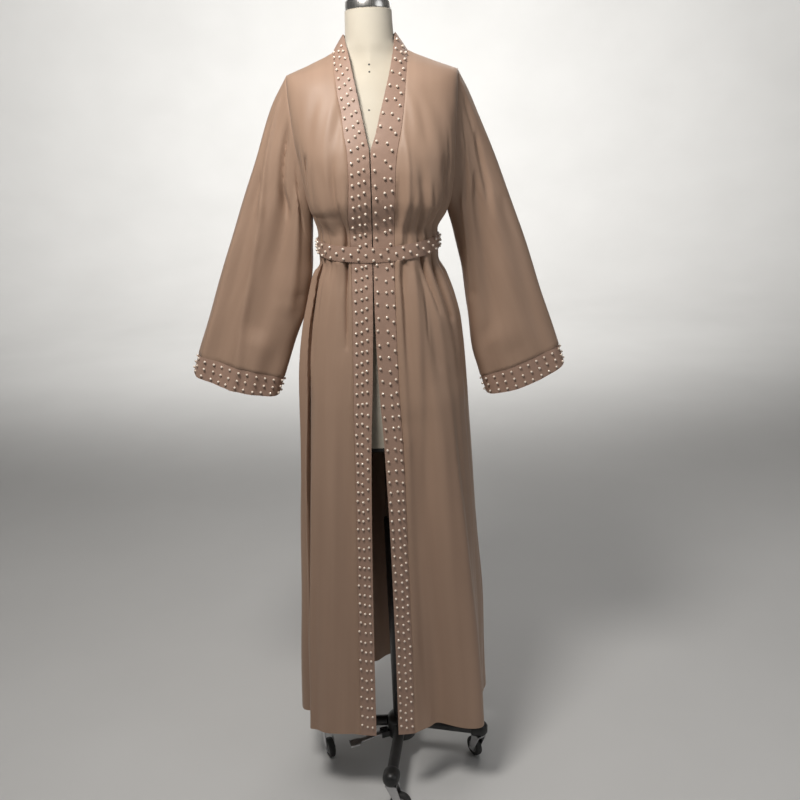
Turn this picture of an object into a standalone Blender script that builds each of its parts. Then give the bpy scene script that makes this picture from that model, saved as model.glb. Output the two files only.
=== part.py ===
"""An open-front abaya with banded edges, wide sleeves and a belt, on a limbless dress form.

Metres, +Z up. The origin is on the floor under the column, and the front faces -Y.
Right and left are the wearer's, so the right side is at -X.
"""

import math
from collections import namedtuple

import bmesh
import bpy
from mathutils import Vector

RIGHT, LEFT = -1, 1

# ---------------------------------------------------------------- driving dimensions
CLOTH = 0.0012  # wall of the satin
SEAM = 0.0003  # space between two sewn pieces
SHARED_NORMAL = 0.35  # pieces share a normal at a seam from twice this agreement up
HEM_HEIGHT = 0.175
NECK_POINT = 1.642  # where the neck seam meets the shoulder seam
NECK_HALF_WIDTH = 0.0745
BACK_NECK_DROP = 0.010
BACK_NECK_DEPTH = 0.068
SHOULDER_TIP = 1.603
UNDERARM = 1.330
ARMHOLE_CENTRE_Y = 0.005
ARMHOLE_HALF_DEPTH = 0.052
SIDE_SEAM_Y = 0.005

COLLAR_HEIGHT = 0.033  # the neck band stands this far above the neck seam
COLLAR_BACK_DROP = 0.003
COLLAR_HALF_WIDTH = 0.0512
COLLAR_SIDE_Y, COLLAR_BACK_Y = -0.002, 0.056

BELT_WIDTH = 0.030
BELT_CLOTH = 0.0018
BELT_SPACE = 0.0006
BELT_HEIGHT = 1.2675
BELT_DIP = 0.0145  # the belt hangs this much lower at the centre front
WAIST_TOP = 1.290  # between these heights the cloth is held straight by the belt
WAIST_BOTTOM = 1.234

# columns and rows of the cloth's walls
FRONT_COLUMNS = 14
NECK_COLUMNS = 4
BAND_COLUMNS = 2
ARMHOLE_ROWS = 10
SLEEVE_ROWS = 13
TOP_FADE_ROWS = 6  # the back's top edge eases into its rounded rows over so many rows
TOP_FADE, TOP_FADE_DEPTH = 2.0, 5.0  # powers of that easing, of x and z and then of y

# the stand
LEG_TURN = math.radians(8)  # the front leg points this far towards -X
LEG_REACH = 0.190  # from the column's axis to a castor's pivot
HUB_RADIUS = 0.034
HUB_BOTTOM, HUB_TOP = 0.062, 0.118
LEG_RADIUS = 0.013
LEG_START, LEG_END = 0.034, 0.171
LEG_HEIGHT_IN, LEG_HEIGHT_OUT = 0.098, 0.086
CAP_HALF_LENGTH, CAP_HALF_WIDTH, CAP_HALF_HEIGHT = 0.0200, 0.0195, 0.0190
CAP_FOOT = 0.0690  # the flat under an end cap, where the castor turns
WHEEL_RADIUS, WHEEL_WIDTH = 0.0240, 0.0170
WHEEL_SIDES = 24
CASTOR_TRAIL = 0.020
FORK_INNER, FORK_PLATE, FORK_CROWN = 0.0180, 0.0022, 0.0030
FORK_FOOT = 0.017  # height of the fork's feet, just under the axle
FORK_CROWN_HALF, FORK_FOOT_HALF = 0.013, 0.008  # half lengths of its plates along the trail
COLUMN_RADIUS, COLUMN_BORE, COLUMN_TOP = 0.0190, 0.0131, 0.640
POLE_RADIUS, POLE_BOTTOM = 0.0125, 0.330
FORM_BOTTOM = 0.845
PLATE_THICKNESS, PLATE_INSET = 0.008, 0.0006
ROW_SPACING = 0.055  # the form's rows are no further apart than this
NECK_TOP = 1.7155
PEDAL_TURN = math.radians(-73)  # from -Y towards -X
PEDAL_PIVOT_REACH, PEDAL_PIVOT_HEIGHT = 0.047, 0.076
PEDAL_THICKNESS = 0.0045
BRACKET_HALF, BRACKET_PLATE = 0.0085, 0.0025  # half its inner width, and its plates
BRACKET_HALF_HEIGHT, BRACKET_NEAR, BRACKET_FAR = 0.008, 0.0343, 0.054
TUBE_SIDES, LEG_SIDES, CAP_SIDES, FORM_SIDES = 20, 14, 16, 28
ROUND_EDGE, HARD_EDGE = 40, 30  # degrees between faces from which an edge is drawn sharp

# ---------------------------------------------------------------- tables
# The dress form: half width, depth in front of and behind the axis, and squareness.
FormRow = namedtuple("FormRow", "name z half_width front back square")
FORM = (
    FormRow("neck top", 1.7155, 0.0462, 0.0452, 0.0470, 2.00),
    FormRow("neck", 1.6800, 0.0475, 0.0455, 0.0480, 2.00),
    FormRow("neck foot", 1.6570, 0.0500, 0.0475, 0.0505, 1.95),
    FormRow("neck base", 1.6365, 0.0715, 0.0490, 0.0515, 1.45),
    FormRow("shoulder slope", 1.6175, 0.1195, 0.0550, 0.0640, 1.17),
    FormRow("shoulder end", 1.6035, 0.1560, 0.0600, 0.0750, 1.25),
    FormRow("shoulder turn", 1.5970, 0.1610, 0.0640, 0.0790, 1.35),
    FormRow("arm plate top", 1.5850, 0.1620, 0.0700, 0.0840, 1.60),
    FormRow("arm plate", 1.5500, 0.1560, 0.0840, 0.0960, 2.00),
    FormRow("chest", 1.5000, 0.1490, 0.1040, 0.1050, 2.25),
    FormRow("upper bust", 1.4500, 0.1430, 0.1220, 0.1070, 2.35),
    FormRow("bust", 1.4100, 0.1380, 0.1280, 0.1060, 2.35),
    FormRow("under bust", 1.3600, 0.1290, 0.1220, 0.1010, 2.30),
    FormRow("ribs", 1.3000, 0.1180, 0.1040, 0.0920, 2.20),
    FormRow("waist", 1.2620, 0.1150, 0.0985, 0.0890, 2.20),
    FormRow("waist foot", 1.2350, 0.1155, 0.0985, 0.0895, 2.20),
    FormRow("upper hip", 1.1800, 0.1260, 0.1010, 0.1010, 2.20),
    FormRow("hip bone", 1.1000, 0.1440, 0.1070, 0.1200, 2.25),
    FormRow("hip", 1.0200, 0.1550, 0.1110, 0.1290, 2.30),
    FormRow("seat", 0.9600, 0.1570, 0.1110, 0.1270, 2.30),
    FormRow("form bottom", 0.8450, 0.1500, 0.1050, 0.1130, 2.30),
)

# The front opening: x of each band's free edge and of its seam to the front panel, and y.
# rise is how far the free edge lies above the seam, where the band turns up round the neck.
EdgeRow = namedtuple("EdgeRow", "name z y right_edge right_seam left_edge left_seam rise edge_y")
OPENING = (
    EdgeRow("neck point", 1.642, 0.000, -0.0512, -0.0745, 0.0512, 0.0745, 0.0330, -0.002),
    EdgeRow("collar front", 1.611, -0.052, -0.0405, -0.0720, 0.0440, 0.0718, 0.0180, -0.056),
    EdgeRow("collar bone", 1.580, -0.077, -0.0330, -0.0680, 0.0345, 0.0680, 0.0080, -0.084),
    EdgeRow("upper chest", 1.550, -0.092, -0.0264, -0.0641, 0.0248, 0.0643, 0.0030, -0.099),
    EdgeRow("chest", 1.520, -0.106, -0.0206, -0.0604, 0.0154, 0.0600, 0.0000, -0.112),
    EdgeRow("low chest", 1.480, -0.121, -0.0138, -0.0549, 0.0044, 0.0523, 0.0000, -0.126),
    EdgeRow("foot of the V", 1.448, -0.131, -0.0087, -0.0507, -0.0060, 0.0458, 0.0000, -0.134),
    EdgeRow("bust", 1.410, -0.137, -0.0089, -0.0499, -0.0066, 0.0412, 0.0000, -0.139),
    EdgeRow("under bust", 1.360, -0.133, -0.0098, -0.0515, -0.0076, 0.0376, 0.0000, -0.135),
    EdgeRow("waist top", 1.290, -0.110, -0.0118, -0.0540, -0.0097, 0.0332, 0.0000, -0.1115),
    EdgeRow("waist bottom", 1.234, -0.110, -0.0136, -0.0560, -0.0113, 0.0312, 0.0000, -0.1115),
    EdgeRow("upper hip", 1.170, -0.118, -0.0156, -0.0580, -0.0128, 0.0294, 0.0000, -0.120),
    EdgeRow("hip bone", 1.100, -0.124, -0.0186, -0.0602, -0.0133, 0.0290, 0.0000, -0.126),
    EdgeRow("hip", 1.000, -0.129, -0.0240, -0.0642, -0.0121, 0.0297, 0.0000, -0.131),
    EdgeRow("thigh", 0.850, -0.134, -0.0340, -0.0705, -0.0065, 0.0337, 0.0000, -0.136),
    EdgeRow("knee", 0.600, -0.142, -0.0442, -0.0792, -0.0028, 0.0352, 0.0000, -0.144),
    EdgeRow("calf", 0.400, -0.148, -0.0502, -0.0867, -0.0030, 0.0348, 0.0000, -0.150),
    EdgeRow("hem", 0.175, -0.156, -0.0559, -0.0935, -0.0055, 0.0312, 0.0000, -0.158),
)

# The sides: x of the armhole and then of the side seam, and how square the section is.
SideRow = namedtuple("SideRow", "name z right left square")
SIDES = (
    SideRow("shoulder tip", 1.603, 0.1695, 0.1735, 2.00),
    SideRow("armhole top", 1.575, 0.1675, 0.1710, 2.00),
    SideRow("upper armhole", 1.540, 0.1635, 0.1675, 2.05),
    SideRow("armhole", 1.500, 0.1590, 0.1640, 2.15),
    SideRow("low armhole", 1.460, 0.1545, 0.1610, 2.25),
    SideRow("armhole foot", 1.420, 0.1490, 0.1575, 2.30),
    SideRow("underarm curve", 1.380, 0.1430, 0.1530, 2.30),
    SideRow("underarm", 1.330, 0.1355, 0.1450, 2.25),
    SideRow("waist top", 1.290, 0.1260, 0.1240, 2.20),
    SideRow("waist bottom", 1.234, 0.1260, 0.1240, 2.20),
    SideRow("upper hip", 1.200, 0.1395, 0.1390, 2.20),
    SideRow("hip top", 1.150, 0.1530, 0.1560, 2.25),
    SideRow("hip bone", 1.100, 0.1655, 0.1670, 2.25),
    SideRow("hip", 1.000, 0.1815, 0.1750, 2.30),
    SideRow("thigh", 0.850, 0.1930, 0.1810, 2.40),
    SideRow("knee", 0.600, 0.2105, 0.1930, 2.50),
    SideRow("calf", 0.400, 0.2235, 0.2035, 2.50),
    SideRow("hem", 0.175, 0.2375, 0.2060, 2.50),
)

# The back: y of the cloth at the centre back.
BackRow = namedtuple("BackRow", "name z y")
BACK = (
    BackRow("neck seam", 1.632, 0.0680),
    BackRow("nape", 1.600, 0.0880),
    BackRow("shoulder blades", 1.550, 0.1040),
    BackRow("upper back", 1.480, 0.1135),
    BackRow("mid back", 1.400, 0.1120),
    BackRow("low back", 1.330, 0.1070),
    BackRow("waist top", 1.290, 0.0985),
    BackRow("waist bottom", 1.234, 0.0985),
    BackRow("upper hip", 1.180, 0.1170),
    BackRow("hip bone", 1.100, 0.1360),
    BackRow("hip", 1.020, 0.1440),
    BackRow("seat", 0.900, 0.1460),
    BackRow("knee", 0.600, 0.1520),
    BackRow("calf", 0.400, 0.1600),
    BackRow("hem", 0.175, 0.1700),
)

# The folds: each runs between two places given by angle round the axis (0 in front, 90 on
# the wearer's left) and height. A negative depth is a trough, a positive one a ridge.
Fold = namedtuple(
    "Fold", "name top_angle top_z low_angle low_z top_depth low_depth top_width low_width"
)
FOLDS = (
    Fold("right drag above belt", -66, 1.435, -70, 1.292, -0.006, -0.008, 0.012, 0.009),
    Fold("right band fold above belt", -39, 1.390, -36, 1.292, -0.006, -0.008, 0.012, 0.008),
    Fold("right band fold below belt", -36, 1.232, -35, 1.090, -0.007, -0.003, 0.009, 0.014),
    Fold("left band fold above belt", 19, 1.430, 21, 1.292, -0.004, -0.005, 0.009, 0.008),
    Fold("left inner fold above belt", 36, 1.425, 39, 1.292, -0.007, -0.009, 0.012, 0.009),
    Fold("left outer fold above belt", 55, 1.415, 60, 1.292, -0.007, -0.010, 0.014, 0.010),
    Fold("left band fold below belt", 21, 1.232, 17, 0.900, -0.005, -0.003, 0.009, 0.014),
    Fold("left inner fold below belt", 40, 1.232, 47, 1.040, -0.008, -0.004, 0.009, 0.016),
    Fold("left outer fold below belt", 60, 1.232, 70, 1.000, -0.009, -0.004, 0.010, 0.018),
    Fold("right hem trough", -42, 0.950, -43, 0.000, -0.001, -0.013, 0.050, 0.045),
    Fold("right side tuck", -72, 1.232, -73, 0.000, -0.005, -0.040, 0.012, 0.015),
    Fold("right back bulge", -106, 1.220, -101, 0.000, 0.004, 0.006, 0.020, 0.030),
    Fold("left hem trough", 28, 0.950, 37, 0.000, -0.002, -0.046, 0.040, 0.032),
    Fold("left hem ridge", 50, 1.000, 51, 0.000, 0.002, 0.042, 0.040, 0.034),
    Fold("left side trough", 78, 0.950, 78, 0.000, -0.002, -0.016, 0.040, 0.028),
    Fold("left side ridge", 102, 1.100, 104, 0.000, 0.003, 0.012, 0.030, 0.035),
    Fold("back left outer fold", 128, 1.232, 124, 0.000, -0.009, -0.022, 0.012, 0.034),
    Fold("back left ridge", 146, 1.200, 144, 0.000, 0.004, 0.022, 0.016, 0.034),
    Fold("back left inner fold", 160, 1.232, 164, 0.000, -0.007, -0.026, 0.011, 0.032),
    Fold("back centre ridge", 178, 1.180, 183, 0.000, 0.003, 0.018, 0.016, 0.032),
    Fold("back right inner fold", -158, 1.232, -157, 0.000, -0.007, -0.026, 0.011, 0.032),
    Fold("back right ridge", -141, 1.200, -138, 0.000, 0.003, 0.020, 0.016, 0.034),
    Fold("back right outer fold", -126, 1.232, -120, 0.000, -0.009, -0.020, 0.012, 0.030),
    Fold("back left gather", 150, 1.410, 156, 1.292, -0.006, -0.009, 0.014, 0.010),
    Fold("back centre gather", 176, 1.380, 175, 1.292, -0.004, -0.007, 0.013, 0.009),
    Fold("back right gather", -154, 1.420, -150, 1.292, -0.006, -0.009, 0.014, 0.010),
    Fold("left drag at back", 122, 1.430, 128, 1.292, -0.006, -0.009, 0.014, 0.010),
    Fold("right drag at back", -120, 1.420, -126, 1.292, -0.006, -0.009, 0.014, 0.010),
)
FOLD_FADE = 0.030  # a fold's depth comes in over this height

# The sleeves: the outer and the inner edge of each flattened tube from the armhole to the
# cuff's hem, the y of its middle, and half its depth.
SleeveRow = namedtuple("SleeveRow", "name along outer_x outer_z inner_x inner_z y half_depth")
RIGHT_SLEEVE = (
    SleeveRow("armhole", 0.00, -0.1695, 1.6030, -0.1355, 1.3300, 0.005, 0.052),
    SleeveRow("upper arm", 0.12, -0.2010, 1.5530, -0.1385, 1.2850, 0.012, 0.050),
    SleeveRow("above elbow", 0.35, -0.2540, 1.4250, -0.1455, 1.2080, 0.014, 0.045),
    SleeveRow("elbow", 0.60, -0.3150, 1.2750, -0.1630, 1.1310, 0.012, 0.041),
    SleeveRow("forearm", 0.82, -0.3680, 1.1350, -0.1960, 1.0500, 0.008, 0.039),
    SleeveRow("cuff seam", 1.00, -0.4030, 1.0440, -0.2190, 0.9840, 0.006, 0.039),
)
LEFT_SLEEVE = (
    SleeveRow("armhole", 0.00, 0.1735, 1.6030, 0.1450, 1.3300, 0.005, 0.052),
    SleeveRow("upper arm", 0.12, 0.1960, 1.5600, 0.1560, 1.2880, 0.018, 0.050),
    SleeveRow("above elbow", 0.35, 0.2480, 1.4350, 0.1740, 1.2040, 0.030, 0.045),
    SleeveRow("elbow", 0.60, 0.3080, 1.2700, 0.1860, 1.1080, 0.036, 0.041),
    SleeveRow("forearm", 0.82, 0.3560, 1.1200, 0.1960, 1.0200, 0.038, 0.039),
    SleeveRow("cuff seam", 1.00, 0.3880, 1.0240, 0.2120, 0.9600, 0.038, 0.039),
)
CUFF_WIDTH = 0.040
CUFF_DROOP = 0.012  # the cuff's hem hangs this much lower in the middle of each face
SLEEVE_SQUARE = 2.3
ARMHOLE_REACH = 0.45  # the armhole's own shape has died out this far down the sleeve

# The castors: which leg, and the way each wheel trails, in degrees from -Y towards +X.
CastorRow = namedtuple("CastorRow", "name leg trail")
CASTORS = (
    CastorRow("front", 0, 75),
    CastorRow("left", 3, -150),
    CastorRow("back", 2, 110),
    CastorRow("right", 1, 22),
)

# Turned and lofted pieces of the stand.
TurnedRow = namedtuple("TurnedRow", "radius z")
HUB = (
    TurnedRow(HUB_RADIUS - 0.010, HUB_TOP),
    TurnedRow(HUB_RADIUS, HUB_TOP - 0.006),
    TurnedRow(HUB_RADIUS, HUB_BOTTOM + 0.004),
    TurnedRow(HUB_RADIUS - 0.004, HUB_BOTTOM),
)
NeckCapRow = namedtuple("NeckCapRow", "rise inset")
NECK_CAP = (
    NeckCapRow(0.0225, 0.0160),
    NeckCapRow(0.0210, 0.0060),
    NeckCapRow(0.0180, 0.0022),
    NeckCapRow(0.0000, 0.0012),
)
EndCapRow = namedtuple("EndCapRow", "along size")
END_CAP = (
    EndCapRow(-1.00, 0.80),
    EndCapRow(-0.92, 0.93),
    EndCapRow(-0.40, 1.00),
    EndCapRow(0.30, 0.97),
    EndCapRow(0.75, 0.78),
    EndCapRow(1.00, 0.42),
)
# One side of a wheel: how far in from the tread and from the rim's face.
WheelRow = namedtuple("WheelRow", "tread_in face_in")
WHEEL = (WheelRow(0.0150, 0.0000), WheelRow(0.0040, 0.0015), WheelRow(0.0000, 0.0040))
PedalRow = namedtuple("PedalRow", "name reach half_width drop")
PEDAL = (
    PedalRow("pivot end", -0.005, 0.0080, 0.000),
    PedalRow("pivot", 0.006, 0.0080, 0.000),
    PedalRow("lever", 0.014, 0.0060, 0.001),
    PedalRow("lever end", 0.058, 0.0060, 0.008),
    PedalRow("foot plate", 0.063, 0.0125, 0.010),
    PedalRow("foot plate end", 0.086, 0.0120, 0.011),
)

# ---------------------------------------------------------------- materials


def material(name, colour, roughness, metallic=0.0):
    made = bpy.data.materials.new(name)
    made.use_nodes = True
    shader = made.node_tree.nodes["Principled BSDF"]
    shader.inputs["Base Color"].default_value = (*colour, 1.0)
    shader.inputs["Roughness"].default_value = roughness
    shader.inputs["Metallic"].default_value = metallic
    return made


# ---------------------------------------------------------------- curves and tables


def smooth(rows, column, at, key="z"):
    """A named column's value at a height, on a curve through the rows that never overshoots."""
    places = [getattr(row, key) for row in rows]
    values = [getattr(row, column) for row in rows]
    turn = 1 if places[-1] > places[0] else -1
    if turn * at <= turn * places[0]:
        return values[0]
    if turn * at >= turn * places[-1]:
        return values[-1]
    slopes = [
        (values[i + 1] - values[i]) / (places[i + 1] - places[i]) for i in range(len(rows) - 1)
    ]
    i = max(k for k in range(len(slopes)) if turn * at >= turn * places[k])

    def tangent(k):
        if k in (0, len(slopes)):
            return slopes[min(k, len(slopes) - 1)]
        before, after = slopes[k - 1], slopes[k]
        return 0.0 if before * after <= 0 else 2 * before * after / (before + after)

    span = places[i + 1] - places[i]
    t = (at - places[i]) / span
    return (
        (2 * t**3 - 3 * t**2 + 1) * values[i]
        + (t**3 - 2 * t**2 + t) * span * tangent(i)
        + (3 * t**2 - 2 * t**3) * values[i + 1]
        + (t**3 - t**2) * span * tangent(i + 1)
    )


def ease(t):
    """0 to 1 with no corner at either end."""
    t = min(1.0, max(0.0, t))
    return t * t * (3 - 2 * t)


def mix(a, b, t):
    return a + (b - a) * t


def steps(start, end, count):
    """count values after start, evenly spaced, the last of them end."""
    return [mix(start, end, (i + 1) / count) for i in range(count)]


# ---------------------------------------------------------------- solids


def add_object(name, mesh, finish):
    mesh.materials.append(finish)
    obj = bpy.data.objects.new(name, mesh)
    bpy.context.scene.collection.objects.link(obj)
    return obj


def mesh_from_bmesh(name, bm, smooth_angle=ROUND_EDGE):
    bmesh.ops.recalc_face_normals(bm, faces=bm.faces)
    mesh = bpy.data.meshes.new(name)
    bm.to_mesh(mesh)
    bm.free()
    mesh.shade_smooth()
    mesh.set_sharp_from_angle(angle=math.radians(smooth_angle))
    return mesh


def lofted(name, loops, finish, smooth_angle=ROUND_EDGE):
    """A solid through closed loops of points, with a flat cap on the first and the last."""
    bm = bmesh.new()
    rings = [[bm.verts.new(point) for point in loop] for loop in loops]
    count = len(loops[0])
    for upper, lower in zip(rings, rings[1:]):
        for j in range(count):
            k = (j + 1) % count
            bm.faces.new((upper[j], upper[k], lower[k], lower[j]))
    bm.faces.new(rings[0])
    bm.faces.new(rings[-1])
    return add_object(name, mesh_from_bmesh(name, bm, smooth_angle), finish)


def walled(name, outer, inner, ring, finish):
    """A wall of cloth between two grids of points. A ring's columns run all the way round."""
    bm = bmesh.new()
    faces = [[[bm.verts.new(p) for p in row] for row in grid] for grid in (outer, inner)]
    rows, columns = len(outer), len(outer[0])
    across = range(columns) if ring else range(columns - 1)
    for grid in faces:
        for i in range(rows - 1):
            for j in across:
                k = (j + 1) % columns
                bm.faces.new((grid[i][j], grid[i + 1][j], grid[i + 1][k], grid[i][k]))
    front, back = faces
    for i in (0, rows - 1):
        for j in across:
            k = (j + 1) % columns
            bm.faces.new((front[i][j], front[i][k], back[i][k], back[i][j]))
    if not ring:
        for j in (0, columns - 1):
            for i in range(rows - 1):
                bm.faces.new((front[i][j], front[i + 1][j], back[i + 1][j], back[i][j]))
    return add_object(name, mesh_from_bmesh(name, bm), finish)


# ---------------------------------------------------------------- the cloth's surface


def radians_round(point):
    """The angle round the axis, 0 in front and positive towards the wearer's left."""
    return math.atan2(point.x, -point.y)


def fold_depth(angle, radius, z):
    """How far the folds push the cloth out at a place."""
    total = 0.0
    for fold in FOLDS:
        if not fold.low_z <= z <= fold.top_z:
            continue
        along = (fold.top_z - z) / (fold.top_z - fold.low_z)
        middle = math.radians(mix(fold.top_angle, fold.low_angle, along))
        away = abs((angle - middle + math.pi) % (2 * math.pi) - math.pi) * radius
        depth = mix(fold.top_depth, fold.low_depth, along)
        width = mix(fold.top_width, fold.low_width, along)
        fade = ease((fold.top_z - z) / FOLD_FADE) * ease((z - fold.low_z) / FOLD_FADE)
        total += depth * fade * math.exp(-((away / width) ** 2))
    return total


def folded(point):
    """The point moved out by the folds, away from the axis."""
    radius = math.hypot(point.x, point.y)
    depth = fold_depth(radians_round(point), radius, point.z)
    return point + Vector((point.x, point.y, 0)) * (depth / radius)


def section_point(start, end, share, square):
    """A point on a rounded quarter turn that leaves start sideways and reaches end front to back."""
    turn = share * math.pi / 2
    sideways = math.sin(turn) ** (2 / square)
    forward = math.cos(turn) ** (2 / square) if share < 1 else 0.0
    return Vector(
        (mix(start.x, end.x, sideways), mix(end.y, start.y, forward), mix(start.z, end.z, sideways))
    )


def lower_heights():
    """Heights of the rows under the armhole, held straight at the belt, down to the hem."""
    return (
        steps(UNDERARM, WAIST_TOP, 2)
        + steps(WAIST_TOP, WAIST_BOTTOM, 2)
        + steps(WAIST_BOTTOM, 1.060, 5)
        + steps(1.060, HEM_HEIGHT, 9)
    )


def row_heights(neck_height):
    """(height at the opening or centre back, height at the side) of each row, from the top."""
    rows = []
    for i in range(ARMHOLE_ROWS + 1):
        inner = mix(neck_height, UNDERARM, i / ARMHOLE_ROWS)
        swing = math.cos(math.pi * i / ARMHOLE_ROWS)
        outer = mix(UNDERARM, SHOULDER_TIP, (1 + swing) / 2)
        rows.append((inner, outer))
    return rows + [(z, z) for z in lower_heights()]


def side_point(side, row, z, face):
    """A point on the armhole or the side seam. face is -1 in front and 1 behind."""
    x = smooth(SIDES, "right" if side == RIGHT else "left", z)
    y = SIDE_SEAM_Y
    if row < ARMHOLE_ROWS:
        swing = math.sin(math.pi * row / ARMHOLE_ROWS)
        y = ARMHOLE_CENTRE_Y + face * ARMHOLE_HALF_DEPTH * swing
    return Vector((side * x, y, z))


def seam_point(side, z):
    """Where a front panel is sewn to its band."""
    x = smooth(OPENING, "right_seam" if side == RIGHT else "left_seam", z)
    return Vector((x, smooth(OPENING, "y", z), z))


def edge_point(side, z):
    """The free edge of a band, level with the seam at height z."""
    x = smooth(OPENING, "right_edge" if side == RIGHT else "left_edge", z)
    return Vector((x, smooth(OPENING, "edge_y", z), z + smooth(OPENING, "rise", z)))


def front_panel(side):
    """Rows from the shoulder to the hem, columns from the band to the side."""
    grid = []
    for row, (inner, outer) in enumerate(row_heights(NECK_POINT)):
        start = seam_point(side, inner)
        end = side_point(side, row, outer, -1)
        square = smooth(SIDES, "square", outer)
        shares = [j / FRONT_COLUMNS for j in range(FRONT_COLUMNS + 1)]
        grid.append([folded(section_point(start, end, share, square)) for share in shares])
    return grid


def neck_seam(turn):
    """The neck seam from the neck point (0) to the centre back (a quarter turn), left side."""
    return Vector(
        (
            NECK_HALF_WIDTH * math.cos(turn),
            BACK_NECK_DEPTH * math.sin(turn),
            NECK_POINT - BACK_NECK_DROP * math.sin(turn),
        )
    )


def collar_edge(turn):
    """The top of the neck band over neck_seam(turn)."""
    return Vector(
        (
            COLLAR_HALF_WIDTH * math.cos(turn),
            mix(COLLAR_SIDE_Y, COLLAR_BACK_Y, math.sin(turn)),
            NECK_POINT + COLLAR_HEIGHT - COLLAR_BACK_DROP * math.sin(turn),
        )
    )


def back_top(side):
    """The back panel's top edge from the centre back: the neck seam, then the shoulder seam."""
    top = []
    for j in range(NECK_COLUMNS):
        point = neck_seam(math.pi / 2 * (1 - j / NECK_COLUMNS))
        top.append(Vector((side * point.x, point.y, point.z)))
    return top + front_panel(side)[0]


def back_half(side):
    """Rows from the top to the hem, columns from the centre back to the side."""
    top = back_top(side)
    columns = len(top) - 1
    grid = []
    rows = row_heights(NECK_POINT - BACK_NECK_DROP)
    for row, (inner, outer) in enumerate(rows):
        start = Vector((0, smooth(BACK, "y", inner), inner))
        end = side_point(side, row, outer, 1)
        square = smooth(SIDES, "square", outer)
        near_top = max(0.0, 1 - row / TOP_FADE_ROWS)
        line = []
        for j in range(columns + 1):
            point = section_point(start, end, j / columns, square)
            if near_top > 0:
                first = section_point(
                    top[0], top[-1], j / columns, smooth(SIDES, "square", SHOULDER_TIP)
                )
                shift = top[j] - first
                point += shift * near_top**TOP_FADE
                point.y += shift.y * (near_top**TOP_FADE_DEPTH - near_top**TOP_FADE)
            line.append(folded(point))
        grid.append(line)
    return grid


def back_panel():
    """Columns from the wearer's left side round the back to the right side."""
    left, right = back_half(LEFT), back_half(RIGHT)
    return [[*reversed(a), *b[1:]] for a, b in zip(left, right)]


def band(side):
    """Rows from the centre back round the neck and down to the hem, columns from edge to seam."""
    lines = []
    for i in range(NECK_COLUMNS):
        turn = math.pi / 2 * (1 - i / NECK_COLUMNS)
        edge, seam = collar_edge(turn), neck_seam(turn)
        lines.append(
            (Vector((side * edge.x, edge.y, edge.z)), Vector((side * seam.x, seam.y, seam.z)))
        )
    seams = [line[0] for line in front_panel(side)]
    for seam, (inner, outer) in zip(seams, row_heights(NECK_POINT)):
        lines.append((edge_point(side, inner), seam))
    shares = [j / BAND_COLUMNS for j in range(BAND_COLUMNS + 1)]
    return [[edge.lerp(seam, share) for share in shares] for edge, seam in lines]


def sleeve(side, armhole):
    """Rings from the armhole to the cuff's seam, each starting on the shoulder side."""
    table = RIGHT_SLEEVE if side == RIGHT else LEFT_SLEEVE
    count = len(armhole)
    rings = [sleeve_ring(table, i / SLEEVE_ROWS, count) for i in range(SLEEVE_ROWS + 1)]
    first = rings[0]
    for i, ring in enumerate(rings):
        fade = 1 - ease(i / SLEEVE_ROWS / ARMHOLE_REACH)
        for k in range(count):
            ring[k] = ring[k] + (armhole[k] - first[k]) * fade if i else armhole[k].copy()
    return rings


def sleeve_ring(table, along, count):
    """One ring: shoulder side first, then the front face, the underarm side and the back face."""
    row = {
        name: smooth(table, name, along, "along")
        for name in ("outer_x", "outer_z", "inner_x", "inner_z", "y", "half_depth")
    }
    outer = Vector((row["outer_x"], row["y"], row["outer_z"]))
    inner = Vector((row["inner_x"], row["y"], row["inner_z"]))
    ring = []
    for k in range(count):
        turn = 2 * math.pi * k / count
        swing, depth = math.cos(turn), math.sin(turn)
        swing = math.copysign(abs(swing) ** (2 / SLEEVE_SQUARE), swing)
        depth = math.copysign(abs(depth) ** (2 / SLEEVE_SQUARE), depth)
        point = inner.lerp(outer, (1 + swing) / 2)
        ring.append(point + Vector((0, -row["half_depth"] * depth, 0)))
    return ring


def cuff(side, seam):
    """Two rows from the sleeve's last ring to the hem."""
    table = RIGHT_SLEEVE if side == RIGHT else LEFT_SLEEVE
    last, before = table[-1], table[-2]
    down = Vector(
        (
            (last.outer_x + last.inner_x) - (before.outer_x + before.inner_x),
            0,
            (last.outer_z + last.inner_z) - (before.outer_z + before.inner_z),
        )
    ).normalized()
    rows = [seam]
    for share in (0.5, 1.0):
        row = []
        for k, point in enumerate(seam):
            droop = CUFF_DROOP * abs(math.sin(2 * math.pi * k / len(seam)))
            row.append(point + down * share * (CUFF_WIDTH + droop))
        rows.append(row)
    return rows


# ---------------------------------------------------------------- sewing the cloth


# A grid of points, whether its columns run all the way round, and how far its first row
# stands off the pieces that it is sewn to.
Piece = namedtuple("Piece", "grid ring start_shift")


def place(point):
    return tuple(round(value, 6) for value in point)


def face_sums(grid, ring):
    """The normals of the faces round each place on a piece, added up."""
    sums = {}
    columns = len(grid[0])
    for upper, lower in zip(grid, grid[1:]):
        for j in range(columns if ring else columns - 1):
            k = (j + 1) % columns
            corners = (upper[j], lower[j], lower[k], upper[k])
            face = (corners[2] - corners[0]).cross(corners[3] - corners[1])
            for corner in corners:
                key = place(corner)
                sums[key] = sums.get(key, Vector((0, 0, 0))) + face
    return sums


def wall_normal(own, shared):
    """Pieces that meet at a gentle angle share one normal, and those that fold back keep theirs."""
    own = own.normalized()
    rest = shared.normalized()
    return own.lerp(rest, ease(own.dot(rest) / SHARED_NORMAL - 1)).normalized()


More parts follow.
